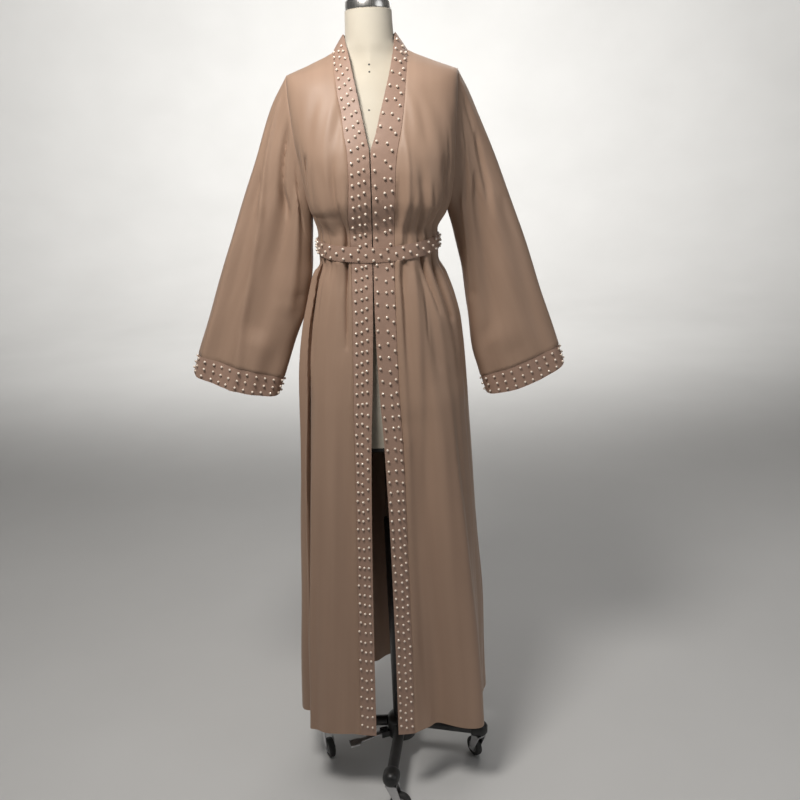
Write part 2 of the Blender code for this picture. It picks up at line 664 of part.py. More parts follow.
def trimmed(piece):
    """The grid with its borders drawn in by half a seam."""
    cut = [[point.copy() for point in row] for row in piece.grid]
    for first, second in ((0, 1), (-1, -2)):
        for j, point in enumerate(piece.grid[first]):
            cut[first][j] += (piece.grid[second][j] - point).normalized() * SEAM / 2
        if not piece.ring:
            for i, row in enumerate(piece.grid):
                cut[i][first] += (row[second] - row[first]).normalized() * SEAM / 2
    cut[0] = [point + piece.start_shift for point in cut[0]]
    return cut


def sew(pieces, finishes):
    """Each piece as a wall of cloth inside its own surface."""
    sums = {name: face_sums(piece.grid, piece.ring) for name, piece in pieces.items()}
    shared = {}
    for own in sums.values():
        for key, face in own.items():
            shared[key] = shared.get(key, Vector((0, 0, 0))) + face
    for name, piece in pieces.items():
        outer = trimmed(piece)
        inner = []
        for cut_row, row in zip(outer, piece.grid):
            keys = [place(point) for point in row]
            normals = [wall_normal(sums[name][key], shared[key]) for key in keys]
            inner.append([cut - normal * CLOTH for cut, normal in zip(cut_row, normals)])
        walled(name, outer, inner, piece.ring, finishes[name])


def belt(pieces, finish):
    """A ring round the waist, made from the cloth's own points moved out."""
    top = ARMHOLE_ROWS + 2
    bottom = top + 2
    round_top, round_bottom = [], []
    for name in ("band_left", "front_left", "back_panel", "front_right", "band_right"):
        grid = pieces[name].grid
        first = NECK_COLUMNS if name.startswith("band") else 0
        skip = 0 if name == "band_left" else 1
        round_top += grid[first + top][skip:]
        round_bottom += grid[first + bottom][skip:]
    count = len(round_top)
    layers = {BELT_SPACE: [], BELT_SPACE + BELT_CLOTH: []}
    for out, rows in layers.items():
        for edge in (0.5, 0.0, -0.5):
            row = []
            for j in range(count):
                before, after = round_top[j - 1], round_top[(j + 1) % count]
                normal = (after - before).cross(Vector((0, 0, 1))).normalized()
                front = max(0.0, math.cos(radians_round(round_top[j])))
                height = BELT_HEIGHT - BELT_DIP * front**2 + edge * BELT_WIDTH
                share = (WAIST_TOP - height) / (WAIST_TOP - WAIST_BOTTOM)
                point = round_top[j].lerp(round_bottom[j], share)
                row.append(point + normal * out)
            rows.append(row)
    inner, outer = layers.values()
    walled("belt", outer, inner, True, finish)


def garment(satin, trim):
    """The abaya: every piece that is cut and sewn."""
    fronts = {side: front_panel(side) for side in (RIGHT, LEFT)}
    back = back_panel()
    still = Vector((0, 0, 0))
    pieces = {
        "front_left": Piece(fronts[LEFT], False, still),
        "front_right": Piece([row[::-1] for row in fronts[RIGHT]], False, still),
        "back_panel": Piece(back, False, still),
        "band_left": Piece(band(LEFT), False, still),
        "band_right": Piece([row[::-1] for row in band(RIGHT)], False, still),
    }
    for side, word in ((RIGHT, "right"), (LEFT, "left")):
        front_edge = [row[-1] for row in fronts[side][: ARMHOLE_ROWS + 1]]
        column = 0 if side == LEFT else -1
        back_edge = [row[column] for row in back[: ARMHOLE_ROWS + 1]]
        armhole = front_edge + back_edge[-2:0:-1]
        rings = sleeve(side, armhole)
        ends = cuff(side, rings[-1])
        if side == LEFT:
            rings = [ring[::-1] for ring in rings]
            ends = [ring[::-1] for ring in ends]
        pieces["sleeve_" + word] = Piece(rings, True, Vector((side * SEAM, 0, 0)))
        pieces["cuff_" + word] = Piece(ends, True, still)
    trims = ("band", "cuff")
    finishes = {name: trim if name.startswith(trims) else satin for name in pieces}
    sew(pieces, finishes)
    belt(pieces, trim)


# ---------------------------------------------------------------- the dress form


def form_loop(z, shrink=0.0):
    """The form's outline at a height."""
    width = smooth(FORM, "half_width", z) - shrink
    front = smooth(FORM, "front", z) - shrink
    back = smooth(FORM, "back", z) - shrink
    power = 2 / smooth(FORM, "square", z)
    loop = []
    for j in range(FORM_SIDES):
        turn = 2 * math.pi * j / FORM_SIDES
        across, forward = math.sin(turn), math.cos(turn)
        depth = front if forward > 0 else back
        loop.append(
            Vector(
                (
                    math.copysign(abs(across) ** power, across) * width,
                    -math.copysign(abs(forward) ** power, forward) * depth,
                    z,
                )
            )
        )
    return loop


def at_height(loop, z):
    return [Vector((point.x, point.y, z)) for point in loop]


def dress_form(linen, black, chrome):
    heights = [FORM[0].z]
    for upper, lower in zip(FORM, FORM[1:]):
        heights += steps(upper.z, lower.z, 2 if upper.z - lower.z > ROW_SPACING else 1)
    lofted("form_torso", [form_loop(z) for z in heights], linen)
    outline = form_loop(FORM_BOTTOM, PLATE_INSET)
    top = FORM_BOTTOM - SEAM
    lofted("form_plate", [at_height(outline, z) for z in (top, top - PLATE_THICKNESS)], black)
    foot = NECK_TOP + SEAM
    rows = [at_height(form_loop(NECK_TOP, row.inset), foot + row.rise) for row in NECK_CAP]
    lofted("neck_cap", rows, chrome)


# ---------------------------------------------------------------- the stand


def circle(radius, z, count=TUBE_SIDES):
    turns = [2 * math.pi * j / count for j in range(count)]
    return [Vector((radius * math.sin(turn), -radius * math.cos(turn), z)) for turn in turns]


def turned(name, rows, finish):
    """A solid turned about Z through rows of radius and height, top first."""
    return lofted(name, [circle(row.radius, row.z) for row in rows], finish)


def tube(name, outer, bore, top, bottom, finish):
    outside = [circle(outer, z) for z in (top, bottom)]
    inside = [circle(bore, z) for z in (top, bottom)]
    return walled(name, outside, inside, True, finish)


def leg_direction(leg_number):
    """Level unit vector along a leg. Leg 0 is the front one, and 1 is on the wearer's right."""
    turn = LEG_TURN + leg_number * math.pi / 2
    return Vector((-math.sin(turn), -math.cos(turn), 0))


def level_across(direction):
    return direction.cross(Vector((0, 0, 1)))


def leg(name, direction, finish):
    """A round tube from the hub out to its end cap."""
    loops = []
    for reach, z in ((LEG_START, LEG_HEIGHT_IN), (LEG_END - SEAM, LEG_HEIGHT_OUT)):
        middle = direction * reach + Vector((0, 0, z))
        ring = []
        for j in range(LEG_SIDES):
            turn = 2 * math.pi * j / LEG_SIDES
            sideways = level_across(direction) * math.cos(turn)
            ring.append(middle + LEG_RADIUS * (sideways + Vector((0, 0, math.sin(turn)))))
        loops.append(ring)
    return lofted(name, loops, finish)


def end_cap(name, direction, finish):
    """A blunt rounded cap with a flat under it for the castor."""
    loops = []
    for row in END_CAP:
        middle = direction * (LEG_END + CAP_HALF_LENGTH * (1 + row.along))
        ring = []
        for j in range(CAP_SIDES):
            turn = 2 * math.pi * j / CAP_SIDES
            sideways = level_across(direction) * CAP_HALF_WIDTH * row.size * math.cos(turn)
            height = LEG_HEIGHT_OUT + CAP_HALF_HEIGHT * row.size * math.sin(turn)
            ring.append(middle + sideways + Vector((0, 0, max(height, CAP_FOOT))))
        loops.append(ring)
    return lofted(name, loops, finish)


def trail_direction(row):
    """Level unit vector from a castor's pivot towards its wheel."""
    turn = math.radians(row.trail)
    return Vector((math.sin(turn), -math.cos(turn), 0))


def castor_fork(row, finish):
    """An upside-down U under an end cap, with its origin under its pivot, on the floor.

    Its plates lean back, so that the wheel trails behind the pivot.
    """
    trail = trail_direction(row)
    across = level_across(trail)
    half = FORK_INNER / 2
    outer = half + FORK_PLATE
    top = CAP_FOOT - SEAM
    # (across, height) round the U, each with whether it is at the foot
    outline = (
        (-outer, FORK_FOOT, True),
        (-outer, top, False),
        (outer, top, False),
        (outer, FORK_FOOT, True),
        (half, FORK_FOOT, True),
        (half, top - FORK_CROWN, False),
        (-half, top - FORK_CROWN, False),
        (-half, FORK_FOOT, True),
    )
    loops = []
    for end in (-1, 1):
        loop = []
        for side, z, at_foot in outline:
            reach = CASTOR_TRAIL + end * FORK_FOOT_HALF if at_foot else end * FORK_CROWN_HALF
            loop.append(across * side + trail * reach + Vector((0, 0, z)))
        loops.append(loop)
    fork = lofted("castor_fork_" + row.name, loops, finish, HARD_EDGE)
    fork.location = leg_direction(row.leg) * LEG_REACH


def castor_wheel(row, finish):
    """A wheel with its origin at its axle, standing on one flat of its tread."""
    trail = trail_direction(row)
    across = level_across(trail)
    corner = WHEEL_RADIUS / math.cos(math.pi / WHEEL_SIDES)
    half = WHEEL_WIDTH / 2
    sides = [(corner - station.tread_in, half - station.face_in) for station in WHEEL]
    sides += [(radius, -side) for radius, side in reversed(sides)]
    loops = []
    for radius, side in sides:
        ring = []
        for j in range(WHEEL_SIDES):
            turn = 2 * math.pi * (j + 0.5) / WHEEL_SIDES
            spoke = trail * math.sin(turn) - Vector((0, 0, math.cos(turn)))
            ring.append(across * side + spoke * radius)
        loops.append(ring)
    wheel = lofted("wheel_" + row.name, loops, finish)
    wheel.location = leg_direction(row.leg) * LEG_REACH + trail * CASTOR_TRAIL
    wheel.location.z = WHEEL_RADIUS


def pedal_directions():
    """Level unit vectors along the pedal's lever and across it."""
    out = Vector((math.sin(PEDAL_TURN), -math.cos(PEDAL_TURN), 0))
    return out, level_across(out)


def pedal_bracket(finish):
    """An upright U on the hub, open away from it, that the lever turns in."""
    out, across = pedal_directions()
    half, outer = BRACKET_HALF, BRACKET_HALF + BRACKET_PLATE
    inside = BRACKET_NEAR + BRACKET_PLATE
    outline = (
        (BRACKET_NEAR, -outer),
        (BRACKET_FAR, -outer),
        (BRACKET_FAR, -half),
        (inside, -half),
        (inside, half),
        (BRACKET_FAR, half),
        (BRACKET_FAR, outer),
        (BRACKET_NEAR, outer),
    )
    loops = []
    for rise in (BRACKET_HALF_HEIGHT, -BRACKET_HALF_HEIGHT):
        z = Vector((0, 0, PEDAL_PIVOT_HEIGHT + rise))
        loops.append([out * reach + across * side + z for reach, side in outline])
    lofted("pedal_bracket", loops, finish, HARD_EDGE)


def pedal(finish):
    """A flat lever and its foot plate, with the origin at its pivot."""
    out, across = pedal_directions()
    thick = PEDAL_THICKNESS / 2
    loops = []
    for row in PEDAL:
        middle = out * row.reach - Vector((0, 0, row.drop))
        width = across * row.half_width
        rise = Vector((0, 0, thick))
        corners = ((-1, -1), (-1, 1), (1, 1), (1, -1))
        loops.append([middle + width * a + rise * b for a, b in corners])
    made = lofted("pedal", loops, finish, HARD_EDGE)
    made.location = out * PEDAL_PIVOT_REACH + Vector((0, 0, PEDAL_PIVOT_HEIGHT))


def stand(iron, chrome, black, steel, tyre):
    turned("hub", HUB, iron)
    tube("column", COLUMN_RADIUS, COLUMN_BORE, COLUMN_TOP, HUB_TOP + SEAM, iron)
    pole_top = FORM_BOTTOM - PLATE_THICKNESS - 2 * SEAM
    pole = (TurnedRow(POLE_RADIUS, pole_top), TurnedRow(POLE_RADIUS, POLE_BOTTOM))
    turned("pole", pole, chrome)
    for row in CASTORS:
        direction = leg_direction(row.leg)
        leg("leg_" + row.name, direction, iron)
        end_cap("end_cap_" + row.name, direction, black)
        castor_fork(row, steel)
        castor_wheel(row, tyre)
    pedal_bracket(black)
    pedal(steel)


def main():
    for obj in list(bpy.data.objects):
        bpy.data.objects.remove(obj, do_unlink=True)
    garment(
        satin=material("rose satin", (0.36, 0.21, 0.15), 0.45),
        trim=material("rose trim", (0.38, 0.23, 0.17), 0.50),
    )
    dress_form(
        linen=material("cream linen", (0.80, 0.74, 0.62), 0.85),
        black=material("black board", (0.02, 0.02, 0.02), 0.70),
        chrome=material("chromed cap", (0.55, 0.55, 0.53), 0.18, 1.0),
    )
    stand(
        iron=material("painted iron", (0.035, 0.035, 0.035), 0.40, 0.4),
        chrome=material("chromed pole", (0.60, 0.60, 0.62), 0.20, 1.0),
        black=material("black plastic", (0.02, 0.02, 0.02), 0.45),
        steel=material("zinc steel", (0.62, 0.62, 0.62), 0.35, 1.0),
        tyre=material("castor wheel", (0.04, 0.04, 0.04), 0.60),
    )


main()
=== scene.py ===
"""The looks of an open-front abaya on its dress form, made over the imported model.

Metres, +Z up, the front faces -Y, and the wearer's right side is at -X, as in the model.
The cloth follows the curves of the solids in finer rows, with its smaller folds.
"""

import math
from collections import namedtuple

import bmesh
import bpy
import numpy as np
from mathutils import Matrix, Vector

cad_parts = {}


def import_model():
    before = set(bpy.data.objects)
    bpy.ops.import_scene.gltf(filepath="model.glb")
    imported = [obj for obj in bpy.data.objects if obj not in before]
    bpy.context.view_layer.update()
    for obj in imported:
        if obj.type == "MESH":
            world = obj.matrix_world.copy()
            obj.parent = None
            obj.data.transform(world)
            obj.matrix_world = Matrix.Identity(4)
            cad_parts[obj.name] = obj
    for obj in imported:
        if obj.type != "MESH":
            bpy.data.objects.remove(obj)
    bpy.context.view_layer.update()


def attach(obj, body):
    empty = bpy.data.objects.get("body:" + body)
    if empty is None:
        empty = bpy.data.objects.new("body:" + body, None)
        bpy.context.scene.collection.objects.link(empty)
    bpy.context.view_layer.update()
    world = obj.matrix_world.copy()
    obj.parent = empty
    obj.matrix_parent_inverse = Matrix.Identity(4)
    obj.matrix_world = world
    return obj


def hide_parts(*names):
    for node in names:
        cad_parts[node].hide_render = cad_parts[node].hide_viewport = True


RIGHT, LEFT = -1, 1
WORD = {RIGHT: "right", LEFT: "left"}

# ---------------- the garment's sizes
HEM_HEIGHT = 0.175
NECK_POINT = 1.642
NECK_HALF_WIDTH = 0.0745
BACK_NECK_DROP = 0.010
BACK_NECK_DEPTH = 0.068
SHOULDER_TIP = 1.603
UNDERARM = 1.330
ARMHOLE_HALF_DEPTH = 0.052
SIDE_SEAM_Y = 0.005
COLLAR_HEIGHT = 0.033
COLLAR_BACK_DROP = 0.003
COLLAR_HALF_WIDTH = 0.0512
COLLAR_SIDE_Y, COLLAR_BACK_Y = -0.002, 0.056
BELT_WIDTH = 0.030
BELT_OUT = 0.0024  # its outer side stands this far off the cloth
BELT_HEIGHT = 1.2675
BELT_DIP = 0.0145
WAIST_TOP, WAIST_BOTTOM = 1.290, 1.234
ARMHOLE_ROWS, SLEEVE_ROWS = 10, 13  # the solids' rows, by which places on the cloth are told
FRONT_COLUMNS, NECK_COLUMNS = 14, 4
TOP_FADE_ROWS = 6
TOP_FADE, TOP_FADE_DEPTH = 2.0, 5.0
ARMHOLE_REACH = 0.45
SLEEVE_SQUARE = 2.3
CUFF_WIDTH, CUFF_DROOP = 0.040, 0.012

# ---------------- how finely it is made
FINER_ROWS, FINER_COLUMNS, FINER_SLEEVE = 6, 6, 8
BAND_COLUMNS, BELT_ROWS, CUFF_ROWS = 12, 10, 10
WAIST_ROWS = (8, 16)  # above the belt's straight stretch and along it
SKIRT_ROWS = (30, 84)  # from the belt to the hip and on to the hem
HIP = 1.060
CLOTH, DOUBLED = 0.0008, 0.0014  # thickness of the satin and of the doubled trim
FOLD_FADE = 0.055
GATHER_FADE = 0.014
SLOW_FADE = 0.42  # the share of a small fold over which its free end dies away
BELT_REACH = 0.055  # folds that end this close to the waist are held by the belt
SEAM_DIP, ARMHOLE_DIP = 0.0015, 0.0050  # the grooves where two pieces are sewn
SEAM_FADE = 0.02
ARMHOLE_RISE, SHOULDER_RISE = 4, 12  # how soon those grooves reach their full depth
SEAM_SIDE = 0.28  # how near a seam its next row of points lies, as a share of the spacing
PUCKER, PUCKER_PITCH = 0.00060, 0.021
PUCKER_DRIFT = (2, 5)  # how far the free edge's puckers drift, and how often
SEWN_PUCKER = (1.3, 1.0)  # the sewn edge's own pace and start

UNDERARM_ROW = ARMHOLE_ROWS * FINER_ROWS  # the row of the finer grids at the underarm
NECK_PLACES = NECK_COLUMNS * FINER_COLUMNS  # places round the neck before the neck point
WAIST = 1.262
SWELL_TOP = 1.59  # the faint swell of the cloth begins under the shoulders
SHOULDER_FADE, BELT_FADE = 0.06, 0.03
BREAK_HEIGHT, BREAK_BOW, BREAK_DEPTH = 1.440, -0.006, 0.0030  # where the cloth leaves the bust
BREAK_REACH, BREAK_FALL, BREAK_ROUND = 0.110, 0.120, 1.5
BREAK_TURNS, BREAK_RIPPLE, RIPPLE_TURNS = 2.4, 0.002, 0.21  # how that line bows and ripples
BREAK_SPAN = ((16, 10), (66, 18))  # degrees from the front at its ends, and those it fades over
BLOUSE_HEIGHT, BLOUSE_DEPTH, BLOUSE_REACH = 1.340, 0.0062, 0.042  # fullness above the belt
FOLD_BOW = 1.2  # degrees by which the middle of a small fold may wander
WANDER_STEP = 2.4  # makes each fold of a table wander its own way
BAND_CROWN = 0.0008
PUCKER_SHARE = 0.22  # of the band's width, from either edge
SLEEVE_SWELL, SWELL_START = 0.0009, 0.15
SLEEVE_WAVES = ((3, 9), (2, 14))  # how often each wave turns round the sleeve and along it
SLEEVE_FADE_IN, SLEEVE_FADE_OUT = 0.06, 0.10  # shares of the sleeve's length
CLOTH_EDGE = 55  # degrees past which an edge of the cloth is drawn sharp
CUFF_PROUD = 0.0005
BELT_CROWN = 0.0008
LIP_X, LIP_HALF, LIP_DROP, LIP_OUT = 0.020, 0.016, 0.0016, 0.0012  # the belt's tucked top edge
LIP_START, LIP_FOLD = 0.35, 0.45  # how far up from the belt's middle, as shares of its width
HEM_STITCH = 0.018  # from the hem
BAND_STITCHES, CUFF_STITCHES, BELT_STITCHES = (0.05, 0.95), (0.06, 0.95), (0.07, 0.93)

PEARL_RADIUS = 0.0027
PEARL_SEGMENTS, PEARL_RINGS = 12, 8
PEARL_SINK = 0.0006
STITCH_PITCH, STITCH_LENGTH, STITCH_HALF_WIDTH = 0.0034, 0.0025, 0.00028
STITCH_RISE, STITCH_STEP = 0.4, 1e-4  # how proud it sits, and the step that gives its direction

# ---------------- tables of the cloth


def table(columns, *rows):
    """Rows of values that go by the columns' names."""
    row_type = namedtuple("Row", columns)
    return [row_type(*row) for row in rows]


OPENING = table(
    "name z y right_edge right_seam left_edge left_seam rise edge_y",
    ("neck point", 1.642, 0.000, -0.0512, -0.0745, 0.0512, 0.0745, 0.0330, -0.002),
    ("collar front", 1.611, -0.052, -0.0405, -0.0720, 0.0440, 0.0718, 0.0180, -0.056),
    ("collar bone", 1.580, -0.077, -0.0330, -0.0680, 0.0345, 0.0680, 0.0080, -0.084),
    ("upper chest", 1.550, -0.092, -0.0264, -0.0641, 0.0248, 0.0643, 0.0030, -0.099),
    ("chest", 1.520, -0.106, -0.0206, -0.0604, 0.0154, 0.0600, 0.0000, -0.112),
    ("low chest", 1.480, -0.121, -0.0138, -0.0549, 0.0044, 0.0523, 0.0000, -0.126),
    ("foot of the V", 1.448, -0.131, -0.0087, -0.0507, -0.0060, 0.0458, 0.0000, -0.134),
    ("bust", 1.410, -0.137, -0.0089, -0.0499, -0.0066, 0.0412, 0.0000, -0.139),
    ("under bust", 1.360, -0.133, -0.0098, -0.0515, -0.0076, 0.0376, 0.0000, -0.135),
    ("waist top", 1.290, -0.110, -0.0118, -0.0540, -0.0097, 0.0332, 0.0000, -0.1115),
    ("waist bottom", 1.234, -0.110, -0.0136, -0.0560, -0.0113, 0.0312, 0.0000, -0.1115),
    ("upper hip", 1.170, -0.118, -0.0156, -0.0580, -0.0128, 0.0294, 0.0000, -0.120),
    ("hip bone", 1.100, -0.124, -0.0186, -0.0602, -0.0133, 0.0290, 0.0000, -0.126),
    ("hip", 1.000, -0.129, -0.0240, -0.0642, -0.0121, 0.0297, 0.0000, -0.131),
    ("thigh", 0.850, -0.134, -0.0340, -0.0705, -0.0065, 0.0337, 0.0000, -0.136),
    ("knee", 0.600, -0.142, -0.0442, -0.0792, -0.0028, 0.0352, 0.0000, -0.144),
    ("calf", 0.400, -0.148, -0.0502, -0.0867, -0.0030, 0.0348, 0.0000, -0.150),
    ("hem", 0.175, -0.156, -0.0559, -0.0935, -0.0055, 0.0312, 0.0000, -0.158),
)
SIDES = table(
    "name z right left square",
    ("shoulder tip", 1.603, 0.1695, 0.1735, 2.00),
    ("armhole top", 1.575, 0.1675, 0.1710, 2.00),
    ("upper armhole", 1.540, 0.1635, 0.1675, 2.05),
    ("armhole", 1.500, 0.1590, 0.1640, 2.15),
    ("low armhole", 1.460, 0.1545, 0.1610, 2.25),
    ("armhole foot", 1.420, 0.1490, 0.1575, 2.30),
    ("underarm curve", 1.380, 0.1430, 0.1530, 2.30),
    ("underarm", 1.330, 0.1355, 0.1450, 2.25),
    ("waist top", 1.290, 0.1260, 0.1240, 2.20),
    ("waist bottom", 1.234, 0.1260, 0.1240, 2.20),
    ("upper hip", 1.200, 0.1395, 0.1390, 2.20),
    ("hip top", 1.150, 0.1530, 0.1560, 2.25),
    ("hip bone", 1.100, 0.1655, 0.1670, 2.25),
    ("hip", 1.000, 0.1815, 0.1750, 2.30),
    ("thigh", 0.850, 0.1930, 0.1810, 2.40),
    ("knee", 0.600, 0.2105, 0.1930, 2.50),
    ("calf", 0.400, 0.2235, 0.2035, 2.50),
    ("hem", 0.175, 0.2375, 0.2060, 2.50),
)
BACK = table(
    "name z y",
    ("neck seam", 1.632, 0.0680),
    ("nape", 1.600, 0.0880),
    ("shoulder blades", 1.550, 0.1040),
    ("upper back", 1.480, 0.1135),
    ("mid back", 1.400, 0.1120),
    ("low back", 1.330, 0.1070),
    ("waist top", 1.290, 0.0985),
    ("waist bottom", 1.234, 0.0985),
    ("upper hip", 1.180, 0.1170),
    ("hip bone", 1.100, 0.1360),
    ("hip", 1.020, 0.1440),
    ("seat", 0.900, 0.1460),
    ("knee", 0.600, 0.1520),
    ("calf", 0.400, 0.1600),
    ("hem", 0.175, 0.1700),
)

# Folds run between two places given by angle round the axis (0 in front, 90 on the wearer's
# left) and height. A negative depth is a trough, a positive one a ridge.
FOLD = "name top_angle top_z low_angle low_z depth end_depth width end_width"
LARGE_FOLDS = table(
    FOLD,
    ("right drag above belt", -65, 1.480, -70, 1.280, -0.005, -0.008, 0.011, 0.009),
    ("right band fold above belt", -39, 1.440, -36, 1.280, -0.004, -0.008, 0.011, 0.008),
    ("right band fold below belt", -36, 1.245, -35, 1.020, -0.007, -0.002, 0.008, 0.014),
    ("left band fold above belt", 18, 1.470, 20, 1.280, -0.003, -0.005, 0.006, 0.006),
    ("left inner fold above belt", 34, 1.440, 40, 1.280, -0.004, -0.009, 0.010, 0.008),
    ("left outer fold above belt", 54, 1.445, 60, 1.280, -0.005, -0.010, 0.012, 0.009),
    ("left band fold below belt", 22, 1.245, 18, 0.860, -0.005, -0.003, 0.008, 0.014),
    ("left inner fold below belt", 40, 1.245, 48, 0.980, -0.008, -0.003, 0.008, 0.016),
    ("left outer fold below belt", 60, 1.245, 71, 0.950, -0.009, -0.003, 0.009, 0.018),
    ("right hem trough", -42, 0.950, -43, 0.000, -0.001, -0.013, 0.050, 0.045),
    ("right side tuck", -72, 1.232, -73, 0.000, -0.005, -0.040, 0.012, 0.015),
    ("right back bulge", -106, 1.220, -101, 0.000, 0.004, 0.006, 0.020, 0.030),
    ("left hem trough", 28, 0.950, 37, 0.000, -0.002, -0.046, 0.040, 0.032),
    ("left hem ridge", 50, 1.000, 51, 0.000, 0.002, 0.042, 0.040, 0.034),
    ("left side trough", 78, 0.950, 78, 0.000, -0.002, -0.016, 0.040, 0.028),
    ("left side ridge", 102, 1.100, 104, 0.000, 0.003, 0.012, 0.030, 0.035),
    ("back left outer fold", 128, 1.232, 124, 0.000, -0.009, -0.022, 0.012, 0.034),
    ("back left ridge", 146, 1.200, 144, 0.000, 0.004, 0.022, 0.016, 0.034),
    ("back left inner fold", 160, 1.232, 164, 0.000, -0.007, -0.026, 0.011, 0.032),
    ("back centre ridge", 178, 1.180, 183, 0.000, 0.003, 0.018, 0.016, 0.032),
    ("back right inner fold", -158, 1.232, -157, 0.000, -0.007, -0.026, 0.011, 0.032),
    ("back right ridge", -141, 1.200, -138, 0.000, 0.003, 0.020, 0.016, 0.034),
    ("back right outer fold", -126, 1.232, -120, 0.000, -0.009, -0.020, 0.012, 0.030),
    ("back left gather", 149, 1.460, 156, 1.280, -0.006, -0.009, 0.014, 0.010),
    ("back centre gather", 176, 1.430, 175, 1.280, -0.004, -0.007, 0.013, 0.009),
    ("back right gather", -155, 1.460, -150, 1.280, -0.006, -0.009, 0.014, 0.010),
    ("left drag at back", 121, 1.470, 128, 1.280, -0.006, -0.009, 0.014, 0.010),
    ("right drag at back", -119, 1.470, -126, 1.280, -0.006, -0.009, 0.014, 0.010),
)
# Overlaps of the cloth that open toward the front. Their depths are measured straight back.
CREVICES = table(
    FOLD,
    ("right side crevice head", -68, 1.240, -61.5, 0.960, 0.016, 0.024, 0.0036, 0.0042),
    ("right side crevice", -61.5, 0.974, -65.5, 0.000, 0.024, 0.030, 0.0042, 0.0048),
    ("right armhole crevice", -53, 1.450, -59, 1.262, 0.010, 0.009, 0.0056, 0.0046),
    ("right crevice above belt", -28, 1.360, -31, 1.258, 0.003, 0.009, 0.0032, 0.0032),
    ("right crevice below belt", -31, 1.258, -31, 1.060, 0.008, 0.003, 0.0032, 0.0036),
    ("left crevice below belt", 42, 1.260, 52, 1.120, 0.006, 0.003, 0.0032, 0.0040),
    ("left outer crevice below belt", 60, 1.250, 67, 1.100, 0.004, 0.005, 0.0034, 0.0044),
)

